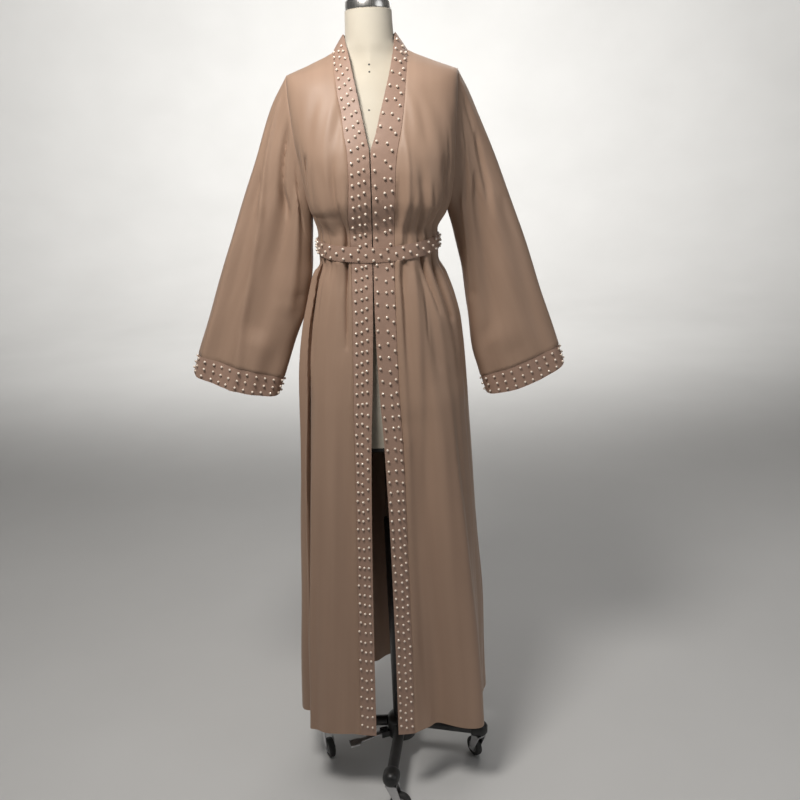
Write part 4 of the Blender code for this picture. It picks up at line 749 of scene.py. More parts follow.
def unevenness(grid):
    """A faint swell over the whole cloth, still at the shoulders and under the belt."""
    angle = np.arctan2(grid[..., 0], -grid[..., 1])
    z = grid[..., 2]
    total = np.zeros_like(z)
    for wave in WAVES:
        total += wave.size * np.sin(wave.turns * angle + wave.rise * z + wave.phase)
    growth = mix(1.0, WAVE_GROWTH, (NECK_POINT - z) / (NECK_POINT - HEM_HEIGHT))
    below_shoulder = ease((SWELL_TOP - z) / SHOULDER_FADE)
    return total * growth * below_shoulder * ease((np.abs(z - WAIST) - BELT_WIDTH) / BELT_FADE)


def bust_break(grid):
    """The cloth stands out along the bust, falls off it and is a little full above the belt."""
    angle = np.degrees(np.arctan2(grid[..., 0], -grid[..., 1]))
    z = grid[..., 2]
    bow = BREAK_BOW * np.cos(np.radians(BREAK_TURNS * angle))
    line = BREAK_HEIGHT + bow + BREAK_RIPPLE * np.sin(RIPPLE_TURNS * angle)
    above = ease(1 - (z - line) / BREAK_REACH) ** BREAK_ROUND
    below = ease(1 - (line - z) / BREAK_FALL)
    (inner, inner_fade), (outer, outer_fade) = BREAK_SPAN
    across = ease((np.abs(angle) - inner) / inner_fade) * ease((outer - np.abs(angle)) / outer_fade)
    blouse = np.exp(-(((z - BLOUSE_HEIGHT) / BLOUSE_REACH) ** 2))
    blouse *= ease((z - WAIST_TOP) / BELT_FADE)
    return across * (BREAK_DEPTH * np.where(z > line, above, below) + BLOUSE_DEPTH * blouse)


def hung(plain):
    """A plain surface with its folds, the crevices cut straight back into it."""
    depth = fold_depth(plain, LARGE_FOLDS, FOLD_FADE) + bust_break(plain)
    depth += fold_depth(plain, SMALL_FOLDS, GATHER_FADE, FOLD_BOW, SLOW_FADE) + unevenness(plain)
    cloth = pushed_out(plain, depth)
    cloth[..., 1] += fold_depth(plain, CREVICES, GATHER_FADE)
    return cloth


def section(start, end, share, square):
    """Rounded quarter turns that leave start sideways and reach end front to back."""
    turn = share * np.pi / 2
    power = (2 / np.asarray(square))[..., None]
    sideways = np.sin(turn) ** power
    forward = np.clip(np.cos(turn), 0.0, None) ** power
    start, end = start[..., None, :], end[..., None, :]
    return points(
        mix(start[..., 0], end[..., 0], sideways),
        mix(end[..., 1], start[..., 1], forward),
        mix(start[..., 2], end[..., 2], sideways),
    )


def row_places(neck_height):
    """Each row's number among the solids' rows, and its heights at the middle and the side."""
    number = np.arange(UNDERARM_ROW + 1) / FINER_ROWS
    inner = mix(neck_height, UNDERARM, number / ARMHOLE_ROWS)
    swing = np.cos(np.pi * number / ARMHOLE_ROWS)
    outer = mix(UNDERARM, SHOULDER_TIP, (1 + swing) / 2)
    low = np.concatenate(
        (
            steps(UNDERARM, WAIST_TOP, WAIST_ROWS[0]),
            steps(WAIST_TOP, WAIST_BOTTOM, WAIST_ROWS[1]),
            steps(WAIST_BOTTOM, HIP, SKIRT_ROWS[0]),
            steps(HIP, HEM_HEIGHT, SKIRT_ROWS[1]),
        )
    )
    number = np.concatenate((number, np.full(len(low), float(ARMHOLE_ROWS))))
    return number, np.concatenate((inner, low)), np.concatenate((outer, low))


def side_points(side, number, z, face):
    """The armhole's edge and the side seam. face is -1 in front and 1 behind."""
    x = smooth(SIDES, WORD[side], z)
    depth = ARMHOLE_HALF_DEPTH * np.sin(np.pi * number / ARMHOLE_ROWS)
    return points(side * x, SIDE_SEAM_Y + face * depth, z)


def front_panel(side):
    """Rows from the shoulder to the hem, columns from the band to the side, with no folds."""
    number, inner, outer = row_places(NECK_POINT)
    x = smooth(OPENING, WORD[side] + "_seam", inner)
    start = points(x, smooth(OPENING, "y", inner), inner)
    end = side_points(side, number, outer, -1)
    across = seam_shares(FRONT_COLUMNS * FINER_COLUMNS)
    return section(start, end, across, smooth(SIDES, "square", outer))


def neck_curve(side, half_width, side_y, back_y, height, back_drop):
    """From the centre back up to the neck point, that one left out."""
    turn = np.pi / 2 * (1 - shares(NECK_PLACES)[:-1])
    round_back = np.sin(turn)
    x = side * half_width * np.cos(turn)
    return points(x, mix(side_y, back_y, round_back), height - back_drop * round_back)


def neck_seam(side):
    return neck_curve(side, NECK_HALF_WIDTH, 0.0, BACK_NECK_DEPTH, NECK_POINT, BACK_NECK_DROP)


def back_half(side, shoulder):
    """Rows from the top to the hem, columns from the centre back to the side, with no folds."""
    top = np.concatenate((neck_seam(side), shoulder))
    across = seam_shares(len(top) - 1, first=False)
    number, inner, outer = row_places(NECK_POINT - BACK_NECK_DROP)
    start = points(0.0, smooth(BACK, "y", inner), inner)
    end = side_points(side, number, outer, 1)
    plain = section(start, end, across, smooth(SIDES, "square", outer))
    first = section(top[0], top[-1], across, smooth(SIDES, "square", SHOULDER_TIP))
    near = np.clip(1 - number / TOP_FADE_ROWS, 0.0, None)
    fade = points(near**TOP_FADE, near**TOP_FADE_DEPTH, near**TOP_FADE)
    return plain + (top - first) * fade[:, None, :]


def band_lines(side, seams):
    """The free edge and the seam of a band, from the centre back round the neck to the hem."""
    inner = row_places(NECK_POINT)[1]
    x = smooth(OPENING, WORD[side] + "_edge", inner)
    y = smooth(OPENING, "edge_y", inner)
    edges = points(x, y, inner + smooth(OPENING, "rise", inner))
    top = NECK_POINT + COLLAR_HEIGHT
    sizes = (COLLAR_HALF_WIDTH, COLLAR_SIDE_Y, COLLAR_BACK_Y, top, COLLAR_BACK_DROP)
    collar = neck_curve(side, *sizes)
    return np.concatenate((collar, edges)), np.concatenate((neck_seam(side), seams))


def flat_band(side, seams):
    """Columns from the free edge to the seam."""
    edge, seam = band_lines(side, seams)
    return mix(edge[:, None], seam[:, None], seam_shares(BAND_COLUMNS, first=False)[None, :, None])


def band(side, seams):
    """The band with the slight pucker that its two rows of stitching give it."""
    grid = flat_band(side, seams)
    run = lengths_along(grid[:, 0])[:, None]
    across = seam_shares(BAND_COLUMNS, first=False)[None, :]
    free = np.exp(-((across / PUCKER_SHARE) ** 2))
    sewn = np.exp(-(((1 - across) / PUCKER_SHARE) ** 2)) * (1 - across**6)
    turn = 2 * np.pi * run / PUCKER_PITCH
    drift, often = PUCKER_DRIFT
    pace, start = SEWN_PUCKER
    free = free * np.sin(turn + drift * np.sin(often * run))
    depth = PUCKER * (free + sewn * np.sin(pace * turn + start))
    depth += BAND_CROWN * 4 * across * (1 - across)
    return grid + grid_normals(grid, False) * side * depth[..., None]


def sleeve_rings(rows, along, turn):
    """Plain rings, each from the shoulder side round the front to the underarm and the back."""
    row = {name: smooth(rows, name, along, "along")[:, None] for name in rows[0]._fields[2:]}
    swing, depth = np.cos(turn)[None, :], np.sin(turn)[None, :]
    swing = np.sign(swing) * np.abs(swing) ** (2 / SLEEVE_SQUARE)
    depth = np.sign(depth) * np.abs(depth) ** (2 / SLEEVE_SQUARE)
    outward = (1 + swing) / 2
    return points(
        mix(row["inner_x"], row["outer_x"], outward),
        row["y"] - row["half_depth"] * depth,
        mix(row["inner_z"], row["outer_z"], outward),
    )


def sleeve_depth(side, rings, along, turn):
    """How far a sleeve's folds and its faint swell push it out."""
    around = np.linalg.norm(np.roll(rings, -1, axis=1) - rings, axis=-1).sum(axis=1)[:, None]
    along, turn = along[:, None], turn[None, :]
    (a_round, a_down), (b_round, b_down) = SLEEVE_WAVES
    total = SLEEVE_SWELL * np.sin(a_round * turn + a_down * along + side)
    total = total * np.sin(b_down * along + b_round * turn)
    total = total * ease(along / SWELL_START)
    for fold in SLEEVE_FOLDS[side]:
        share = np.clip((along - fold.start) / (fold.end - fold.start), 0.0, 1.0)
        middle = np.radians(mix(fold.start_turn, fold.end_turn, share))
        fade = ease((along - fold.start) / SLEEVE_FADE_IN)
        if fold.end < 1:
            fade = fade * ease((fold.end - along) / SLEEVE_FADE_OUT)
        total = total + ridge(fold, share, turn, middle, around / (2 * np.pi)) * fade
    return total


def sleeve(side, armhole):
    """Rings from the armhole to the cuff's seam."""
    along = seam_shares(SLEEVE_ROWS * FINER_SLEEVE)
    turn = 2 * np.pi * np.arange(len(armhole)) / len(armhole)
    rings = sleeve_rings(SLEEVES[side], along, turn)
    fade = 1 - ease(along / ARMHOLE_REACH)
    rings = rings + (armhole - rings[0]) * fade[:, None, None]
    out = grid_normals(rings, True) * -side
    return rings + out * sleeve_depth(side, rings, along, turn)[..., None]


def cuff(side, seam):
    """Rows from the sleeve's last ring to the cuff's hem."""
    before, last = SLEEVES[side][-2:]
    down = Vector(
        (
            (last.outer_x + last.inner_x) - (before.outer_x + before.inner_x),
            0.0,
            (last.outer_z + last.inner_z) - (before.outer_z + before.inner_z),
        )
    ).normalized()
    turn = 2 * np.pi * np.arange(len(seam)) / len(seam)
    fall = shares(CUFF_ROWS)[:, None] * (CUFF_WIDTH + CUFF_DROOP * np.abs(np.sin(turn)))
    return seam[None] + np.array(down) * fall[..., None]


def belt_surface(*panels):
    """A ring round the waist, made from the unfolded panels' own places moved out."""
    top = UNDERARM_ROW + WAIST_ROWS[0]
    upper, lower = (
        np.concatenate([panels[0][row]] + [panel[row, 1:] for panel in panels[1:]])
        for row in (top, top + WAIST_ROWS[1])
    )
    along = np.roll(upper, -1, axis=0) - np.roll(upper, 1, axis=0)
    out = unit(np.cross(along, (0.0, 0.0, 1.0)))
    front = np.clip(np.cos(np.arctan2(upper[:, 0], -upper[:, 1])), 0.0, None)
    lip = np.exp(-(((upper[:, 0] - LIP_X) / LIP_HALF) ** 4)) * (upper[:, 1] < 0)
    rows = []
    for edge in 0.5 - shares(BELT_ROWS):
        height = BELT_HEIGHT - BELT_DIP * front**2 + edge * BELT_WIDTH
        height = height - LIP_DROP * lip * (edge > LIP_FOLD)
        share = (WAIST_TOP - height) / (WAIST_TOP - WAIST_BOTTOM)
        away = BELT_OUT + BELT_CROWN * (1 - 4 * edge**2) + LIP_OUT * lip * (edge > LIP_START)
        rows.append(mix(upper, lower, share[:, None]) + out * away[:, None])
    return np.array(rows)


# ---------------- meshes


def add_object(name, mesh, finish):
    mesh.materials.append(finish)
    obj = bpy.data.objects.new(name, mesh)
    bpy.context.scene.collection.objects.link(obj)
    return obj


def as_piece(obj, body, slot, *nodes):
    """The object rides on a body and stands for CAD nodes, which it hides. slot is not used."""
    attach(obj, body)
    if nodes:
        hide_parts(*nodes)
    return obj


def grid_faces(rows, columns, ring, turned_over=False):
    """Four-sided faces between the places of a grid. A ring's last column meets its first."""
    i = np.arange(rows - 1)[:, None]
    j = np.arange(columns if ring else columns - 1)[None, :]
    k = (j + 1) % columns
    corners = (i * columns + j, (i + 1) * columns + j, (i + 1) * columns + k, i * columns + k)
    quads = np.stack(corners, axis=-1).reshape(-1, 4)
    return quads[:, ::-1] if turned_over else quads


def measured(grid, ring):
    """The lengths across the cloth between its columns, and down it between its rows."""
    wide = np.concatenate((grid, grid[:, :1]), axis=1) if ring else grid
    across = np.linalg.norm(np.diff(wide, axis=1), axis=-1)
    return across, np.linalg.norm(np.diff(grid, axis=0), axis=-1)


def weave_uv(grid, ring):
    """Each place's distance across from the middle column and down from the top, in metres."""
    across, down = measured(grid, ring)
    columns = grid.shape[1]
    u = np.pad(np.cumsum(across, axis=1), ((0, 0), (1, 0)))[:, :columns]
    v = np.pad(np.cumsum(down, axis=0), ((1, 0), (0, 0)))
    return np.stack((u - u[:, columns // 2 : columns // 2 + 1], v), axis=-1)


def shell(name, grid, ring, thickness, finish):
    """A wall of cloth inside its own surface, with a weave laid in metres."""
    rows, columns = grid.shape[:2]
    inner = grid - grid_normals(grid, ring) * thickness
    places = np.concatenate((grid.reshape(-1, 3), inner.reshape(-1, 3)))
    size = rows * columns
    across = np.arange(columns if ring else columns - 1)
    after = (across + 1) % columns
    last = (rows - 1) * columns
    top = np.stack((across, after, after + size, across + size), axis=-1)
    foot = last + np.stack((after, across, across + size, after + size), axis=-1)
    outer = grid_faces(rows, columns, ring)
    faces = [outer, grid_faces(rows, columns, ring, True) + size, top, foot]
    if not ring:
        down = np.arange(rows - 1) * columns
        for edge, order in ((0, 1), (columns - 1, -1)):
            start, end = down + edge, down + columns + edge
            side = np.stack((start, start + size, end + size, end), axis=-1)
            faces.append(side[:, ::order])
    faces = np.concatenate(faces)
    mesh = bpy.data.meshes.new(name)
    mesh.from_pydata(places.tolist(), [], faces.tolist())
    uv = np.tile(weave_uv(grid, ring).reshape(-1, 2), (2, 1))
    layer = mesh.uv_layers.new(name="weave")
    layer.data.foreach_set("uv", uv[faces.reshape(-1)].reshape(-1).astype(np.float32))
    mesh.shade_smooth()
    mesh.set_sharp_from_angle(angle=math.radians(CLOTH_EDGE))
    return add_object(name, mesh, finish)


def sheet_piece(name, grid, ring, thickness, finish, slot):
    """A piece of the garment. Its width, length and area are worked out from its own size and not
    used.
    """
    obj = as_piece(shell(name + "_cloth", grid, ring, thickness, finish), "figure", slot, name)
    across, down = measured(grid, ring)
    width, length = float(across.sum(axis=1).max()), float(down.sum(axis=0).max())
    diagonals = np.cross(grid[1:, 1:] - grid[:-1, :-1], grid[1:, :-1] - grid[:-1, 1:])
    area = np.linalg.norm(diagonals, axis=-1).sum() / 2
    if ring:
        area *= grid.shape[1] / (grid.shape[1] - 1)
    area = float(min(area, width * length))


def ball():
    """Points and faces of a small round bead of radius 1."""
    fall = np.pi * np.arange(1, PEARL_RINGS)[:, None] / PEARL_RINGS
    turn = 2 * np.pi * np.arange(PEARL_SEGMENTS) / PEARL_SEGMENTS
    rings = points(np.sin(fall) * np.cos(turn), np.sin(fall) * np.sin(turn), np.cos(fall))
    places = np.concatenate(([(0, 0, 1)], rings.reshape(-1, 3), [(0, 0, -1)]))
    quads = grid_faces(PEARL_RINGS - 1, PEARL_SEGMENTS, True) + 1
    j = np.arange(PEARL_SEGMENTS)
    k = (j + 1) % PEARL_SEGMENTS
    last = len(places) - 1
    low = last - PEARL_SEGMENTS
    top = np.stack((0 * j, 1 + j, 1 + k), axis=-1)
    foot = np.stack((0 * j + last, low + k, low + j), axis=-1)
    return places, np.concatenate((top, quads[:, (0, 1, 2)], quads[:, (0, 2, 3)], foot))


def sewn_on(name, places, faces, finish):
    """One piece of many small copies. places has the points of each copy."""
    shifts = np.arange(len(places))[:, None, None] * places.shape[1]
    mesh = bpy.data.meshes.new(name)
    mesh.from_pydata(places.reshape(-1, 3).tolist(), [], (faces + shifts).reshape(-1, 3).tolist())
    mesh.shade_smooth()
    as_piece(add_object(name, mesh, finish), "figure", "rose_trim")


def pearls(name, grid, ring, rows, columns, finish, outward=1):
    """Pearls at fractional rows and columns of a grid, each sunk a little into the cloth."""
    normals = unit(sample(grid_normals(grid, ring) * outward, rows, columns, ring))
    middle = sample(grid, rows, columns, ring) + normals * (PEARL_RADIUS - PEARL_SINK)
    places, faces = ball()
    sewn_on(name, middle[:, None, :] + places[None] * PEARL_RADIUS, faces, finish)


def at_distances(at, length, line):
    """The places on a line of points at distances from its start."""
    return np.stack([np.interp(at, length, line[:, k]) for k in range(3)], axis=-1)


def stitches(name, runs, finish):
    """Short raised stitches along lines of (points, normals)."""
    made = []
    for line, normals in runs:
        length = lengths_along(line)
        at = np.arange(STITCH_PITCH, length[-1] - STITCH_PITCH / 2, STITCH_PITCH)
        middle = at_distances(at, length, line)
        up = unit(at_distances(at, length, normals))
        along = unit(at_distances(at + STITCH_STEP, length, line) - middle) * STITCH_LENGTH / 2
        across = unit(np.cross(along, up)) * STITCH_HALF_WIDTH
        rise = up * STITCH_HALF_WIDTH
        middle = middle + rise * STITCH_RISE
        ends = (middle + along, middle - along, middle + across, middle - across)
        made.append(np.stack((*ends, middle + rise, middle - rise), axis=1))
    faces = [(0, 2, 4), (2, 1, 4), (1, 3, 4), (3, 0, 4), (2, 0, 5), (1, 2, 5), (3, 1, 5), (0, 3, 5)]
    sewn_on(name, np.concatenate(made), np.array(faces), finish)


# ---------------- materials

Grain = namedtuple("Grain", "scale detail stretch source", defaults=(3.0, (1, 1, 1), "Object"))


def joined(tree, kind, inputs, output):
    """A new node's output, its inputs set to values or linked to other nodes' outputs."""
    made = tree.nodes.new(kind)
    for name, value in inputs.items():
        if isinstance(value, bpy.types.NodeSocket):
            tree.links.new(value, made.inputs[name])
        else:
            made.inputs[name].default_value = value
    return made.outputs[output]


def noise(tree, grain):
    """Noise laid on the object's own coordinates, or on its weave."""
    places = tree.nodes.new("ShaderNodeTexCoord").outputs[grain.source]
    mapping = {"Vector": places, "Scale": grain.stretch}
    laid = joined(tree, "ShaderNodeMapping", mapping, "Vector")
    settings = {"Vector": laid, "Scale": grain.scale, "Detail": grain.detail}
    return joined(tree, "ShaderNodeTexNoise", settings, "Fac")


def ramp(tree, factor, stops):
    """A colour by how high the factor is. Each of the two stops is (place, colour)."""
    made = tree.nodes.new("ShaderNodeValToRGB")
    for element, (at, colour) in zip(made.color_ramp.elements, stops):
        element.position = at
        element.color = (*colour, 1.0)
    tree.links.new(factor, made.inputs["Fac"])
    return made.outputs["Color"]


def material(name, values, tones, stops, gloss=None, bumps=()):
    """A procedural finish, with the values that are the same all over set on the shader.

    The mean of the tones picks a colour between the stops. gloss is (grain, least, most)
    roughness, and each bump is (grain, distance in metres, strength).
    """
    made = bpy.data.materials.new(name)
    made.use_nodes = True
    tree = made.node_tree
    shader = tree.nodes["Principled BSDF"]
    for socket, value in values.items():
        shader.inputs[socket].default_value = value
    factor = noise(tree, tones[0])
    for tone in tones[1:]:
        factor = joined(tree, "ShaderNodeMix", {"A": factor, "B": noise(tree, tone)}, "Result")
    tree.links.new(ramp(tree, factor, stops), shader.inputs["Base Color"])
    if gloss:
        grain, least, most = gloss
        settings = {"Value": noise(tree, grain), "To Min": least, "To Max": most}
        roughness = joined(tree, "ShaderNodeMapRange", settings, "Result")
        tree.links.new(roughness, shader.inputs["Roughness"])
    before = {}
    for grain, distance, strength in bumps:
        settings = {"Height": noise(tree, grain), "Distance": distance, "Strength": strength}
        before = {"Normal": joined(tree, "ShaderNodeBump", settings | before, "Normal")}
    for normal in before.values():
        tree.links.new(normal, shader.inputs["Normal"])
    return made


def cloth_material(name, dark, light, thread):
    """Fine satin-backed crepe: long warp slubs, a crepe grain and soft streaks of tone."""
    warp = Grain(thread, 2.0, (1.0, 0.12, 1.0), "UV")
    weft = Grain(thread, 2.0, (0.12, 1.0, 1.0), "UV")
    sheen = {"Sheen Weight": 0.13, "Sheen Roughness": 0.38, "Sheen Tint": (0.95, 0.80, 0.70, 1.0)}
    return material(
        name,
        {"Roughness": 0.50, "Specular IOR Level": 0.36, **sheen},
        (Grain(5.0, 4.0, (1.0, 1.0, 0.45)), Grain(40.0, 2.0, (1, 0.04, 1), "UV")),
        ((0.20, dark), (0.80, light)),
        (Grain(22.0), 0.45, 0.56),
        ((Grain(260.0), 0.0004, 0.16), (warp, 0.00020, 0.35), (weft, 0.00016, 0.25)),
    )


def thread_material():
    return material(
        "sewing thread",
        {"Roughness": 0.55, "Sheen Weight": 0.2},
        (Grain(300.0),),
        ((0.30, (0.28, 0.16, 0.11)), (0.75, (0.40, 0.25, 0.18))),
        bumps=((Grain(2600.0), 0.0001, 0.4),),
    )


def pearl_material():
    coat = {"Coat Weight": 0.7, "Coat Roughness": 0.10, "Sheen Weight": 0.15}
    return material(
        "faux pearl",
        {"Roughness": 0.24, "Specular IOR Level": 0.60, **coat},
        (Grain(90.0, 2.0),),
        ((0.30, (0.74, 0.61, 0.49)), (0.60, (0.84, 0.73, 0.62))),
        (Grain(240.0), 0.18, 0.30),
        ((Grain(700.0), 0.0001, 0.08),),
    )


def linen_material():
    """The form's cream cover: a plain weave with slubs."""
    warp = Grain(1500.0, 2.0, (1.0, 1.0, 0.12))
    weft = Grain(1500.0, 2.0, (0.15, 0.15, 1.0))
    return material(
        "cream linen cover",
        {"Roughness": 0.85, "Sheen Weight": 0.25},
        (Grain(7.0, 5.0),),
        ((0.28, (0.53, 0.475, 0.38)), (0.70, (0.64, 0.59, 0.495))),
        (Grain(60.0), 0.78, 0.92),
        ((warp, 0.0003, 0.35), (weft, 0.0003, 0.35)),
    )


def board_material():
    return material(
        "black board",
        {"Roughness": 0.70},
        (Grain(40.0, 5.0),),
        ((0.30, (0.014, 0.014, 0.014)), (0.75, (0.032, 0.031, 0.030))),
        bumps=((Grain(500.0), 0.0003, 0.3),),
    )


def metal_material(name, dark, light, roughness, stretch, wear=0.0):
    """Polished or plated metal, with fine marks that run along stretch."""
    marks = Grain(420.0, 4.0, stretch)
    return material(
        name,
        {"Roughness": roughness, "Metallic": 1.0},
        (Grain(9.0, 4.0),),
        ((0.30, dark), (0.72, light)),
        (marks, roughness - 0.06, roughness + 0.10 + wear),
        ((marks, 0.00008, 0.10 + wear),),
    )


def painted_material():
    """Black paint on iron: a slight orange peel, with duller scuffs."""
    return material(
        "black painted iron",
        {"Roughness": 0.38},
        (Grain(14.0, 6.0),),
        ((0.34, (0.016, 0.016, 0.017)), (0.78, (0.040, 0.039, 0.038))),
        (Grain(30.0, 5.0), 0.28, 0.52),
        ((Grain(320.0, 2.0), 0.0003, 0.20),),
    )


def plastic_material(name, dark, light, roughness, grain):
    return material(
        name,
        {"Roughness": roughness},
        (Grain(25.0, 5.0),),
        ((0.32, dark), (0.75, light)),
        (Grain(70.0, 4.0), roughness - 0.08, roughness + 0.12),
        ((Grain(grain, 2.0), 0.0002, 0.25),),
    )


def floor_material():
    return material(
        "pale studio floor",
        {"Roughness": 0.92, "Specular IOR Level": 0.2},
        (Grain(1.6),),
        ((0.20, (0.60, 0.595, 0.585)), (0.80, (0.64, 0.635, 0.625))),
    )


def make_materials():
    return {
        "satin": cloth_material(
            "rose satin crepe", (0.306, 0.198, 0.140), (0.400, 0.268, 0.192), 2300.0
        ),
        "trim": cloth_material(
            "rose doubled trim", (0.304, 0.198, 0.149), (0.402, 0.264, 0.202), 2000.0
        ),
        "thread": thread_material(),
        "pearl": pearl_material(),
        "linen": linen_material(),
        "board": board_material(),
        "cap": metal_material(
            "polished neck cap", (0.62, 0.60, 0.57), (0.84, 0.82, 0.79), 0.24, (1, 1, 0.05)
        ),
        "pole": metal_material(
            "plated pole", (0.52, 0.52, 0.53), (0.66, 0.66, 0.67), 0.18, (1, 1, 0.04)
        ),
        "steel": metal_material(
            "zinc plated steel", (0.45, 0.45, 0.46), (0.64, 0.64, 0.65), 0.34, (1, 1, 1), 0.08
        ),
        "iron": painted_material(),
        "plastic": plastic_material(
            "black moulded plastic", (0.012, 0.012, 0.012), (0.030, 0.030, 0.030), 0.40, 900.0
        ),
        "tyre": plastic_material(
            "black castor tyre", (0.016, 0.016, 0.016), (0.045, 0.044, 0.042), 0.62, 500.0
        ),
        "wheel": plastic_material(
            "grey wheel disc", (0.16, 0.16, 0.16), (0.26, 0.26, 0.25), 0.48, 700.0
        ),
        "mark": plastic_material(
            "marking ink", (0.020, 0.020, 0.022), (0.050, 0.048, 0.046), 0.60, 900.0
        ),
        "floor": floor_material(),
    }


# ---------------- the dress form


def lofted(name, loops, finish, sharp=ROUND_EDGE, bevel=0.0, closed=False, caps=(0, -1)):
    """A piece through closed loops of points, with flat caps on the loops that caps names.

    Where closed is set, the last loop is also joined to the first.
    """
    bm = bmesh.new()
    rings = [[bm.verts.new(point) for point in loop] for loop in loops]
    count = len(rings[0])
    for upper, lower in zip(rings, rings[1:] + rings[:closed]):
        for j in range(count):
            k = (j + 1) % count
            bm.faces.new((upper[j], upper[k], lower[k], lower[j]))
    for cap in caps:
        bm.faces.new(rings[cap])
    bmesh.ops.recalc_face_normals(bm, faces=bm.faces)
    mesh = bpy.data.meshes.new(name)
    bm.to_mesh(mesh)
    bm.free()
    mesh.shade_smooth()
    mesh.set_sharp_from_angle(angle=math.radians(sharp))
    obj = add_object(name, mesh, finish)
    if bevel:
        rounding = obj.modifiers.new("rounded edges", "BEVEL")
        rounding.width = bevel
        rounding.segments = 3
        rounding.limit_method = "ANGLE"
        rounding.angle_limit = math.radians(sharp)
        rounding.harden_normals = True
    return obj


def round_loop(middle, across, up, count, shift=0.0):
    """Points round a middle. across and up are its radius in two directions."""
    turns = [2 * math.pi * (j + shift) / count for j in range(count)]
    return [middle + across * math.cos(turn) + up * math.sin(turn) for turn in turns]


def circle(radius, z, count=TUBE_SIDES):
    return round_loop(UP * z, Vector((0, -radius, 0)), Vector((radius, 0, 0)), count)


def turned(name, profile, finish, **options):
    """A piece turned about the upright axis through (radius, height) places."""
    return lofted(name, [circle(radius, z) for radius, z in profile], finish, **options)


def placed(origin, along, across, places):
    """Points at (along, across, up) places from an origin."""
    return [origin + along * a + across * b + UP * c for a, b, c in places]


def form_loops(heights, shrink=0.0):
    """The form's outline at each height, drawn in by shrink."""
    heights = np.asarray(heights, float)
    turn = 2 * np.pi * np.arange(FORM_SIDES) / FORM_SIDES
    across, forward = np.sin(turn)[None, :], np.cos(turn)[None, :]
    width, front, back, square = (
        smooth(FORM, column, heights)[:, None]
        for column in ("half_width", "front", "back", "square")
    )
    shrink = np.broadcast_to(shrink, heights.shape)[:, None]
    power = 2 / square
    depth = np.where(forward > 0, front, back) - shrink
    x = np.sign(across) * np.abs(across) ** power * (width - shrink)
    y = -np.sign(forward) * np.abs(forward) ** power * depth
    return points(x, y, heights[:, None])


def dress_form(look):
    top, bottom = FORM[0].z, FORM[-1].z
    heights = np.concatenate(([top], steps(top, bottom, FORM_ROWS)))
    dip = NECK_SEAM_DIP * np.exp(-(((heights - NECK_SEAM) / NECK_SEAM_WIDTH) ** 2))
    torso = lofted("form_cover", form_loops(heights, dip), look["linen"])
    as_piece(torso, "figure", "cream_linen", "form_torso")

    outline = form_loops([FORM_BOTTOM], PLATE_INSET)[0]
    loops = [outline - (0, 0, depth) for depth in (SEAM, SEAM + PLATE_THICKNESS)]
    plate = lofted("form_base_board", loops, look["board"], bevel=PLATE_ROUNDING)
    as_piece(plate, "figure", "black_board", "form_plate")

    loops = [form_loops([top], row.inset)[0] + (0, 0, SEAM + row.rise) for row in NECK_CAP]
    as_piece(lofted("neck_dome", loops, look["cap"]), "figure", "chrome", "neck_cap")

    for number, (x, z) in enumerate(MARKERS):
        y = -float(smooth(FORM, "front", z))
        slope = (float(smooth(FORM, "front", z - SLOPE_STEP)) + y) / SLOPE_STEP
        out = Vector((0, -1, slope)).normalized()
        up = Vector((0, slope, 1)).normalized()
        middle = Vector((x, y, z))
        loops = [
            round_loop(middle + out * rise, Vector((radius, 0, 0)), up * radius, MARKER_SIDES)
            for radius, rise in MARKER_PROFILE
        ]
        mark = lofted(f"centre_mark_{number + 1}", loops, look["mark"])
        as_piece(mark, "figure", "black_plastic")


# ---------------- the stand


def heading(turn):
    """A level direction, turned from the front toward the wearer's left."""
    return Vector((math.sin(turn), -math.cos(turn), 0))


def level_across(direction):
    return direction.cross(UP)


def hub_and_tubes(look):
    profile = (
        (COLUMN_RADIUS + 0.0030, HUB_TOP),
        (HUB_RADIUS - 0.0080, HUB_TOP - 0.0008),
        (HUB_RADIUS - 0.0030, HUB_TOP - 0.0030),
        (HUB_RADIUS - 0.0006, HUB_TOP - 0.0062),
        (HUB_RADIUS, HUB_TOP - 0.0100),
        (HUB_RADIUS, HUB_BOTTOM + 0.0042),
        (HUB_RADIUS - 0.0012, HUB_BOTTOM + 0.0014),
        (HUB_RADIUS - 0.0040, HUB_BOTTOM),
    )
    as_piece(turned("base_hub", profile, look["iron"]), "base", "painted_iron", "hub")

    foot = HUB_TOP + SEAM
    profile = (
        (COLUMN_RADIUS - 0.0008, foot),
        (COLUMN_RADIUS, foot + 0.0010),
        (COLUMN_RADIUS, COLUMN_TOP - 0.0014),
        (COLUMN_RADIUS - 0.0012, COLUMN_TOP),
        (COLUMN_BORE + 0.0008, COLUMN_TOP),
        (COLUMN_BORE, COLUMN_TOP - 0.0012),
        (COLUMN_BORE, foot),
    )
    column = turned("base_column", profile, look["iron"], closed=True, caps=())
    as_piece(column, "base", "painted_iron", "column")

    top = FORM_BOTTOM - PLATE_THICKNESS - 2 * SEAM
    profile = (
        (POLE_RADIUS - 0.0010, top),
        (POLE_RADIUS, top - 0.0010),
        (POLE_RADIUS, POLE_BOTTOM + 0.0015),
        (POLE_RADIUS - 0.0015, POLE_BOTTOM),
    )
    as_piece(turned("lift_pole", profile, look["pole"]), "figure", "chrome", "pole")


def leg(name, direction, look):
    across = level_across(direction) * LEG_RADIUS
    loops = [
        round_loop(direction * reach + UP * z, across, UP * LEG_RADIUS, LEG_SIDES)
        for reach, z in ((LEG_START, LEG_HEIGHT_IN), (LEG_END - SEAM, LEG_HEIGHT_OUT))
    ]
    piece = lofted("base_leg_" + name, loops, look["iron"])
    as_piece(piece, "base", "painted_iron", "leg_" + name)


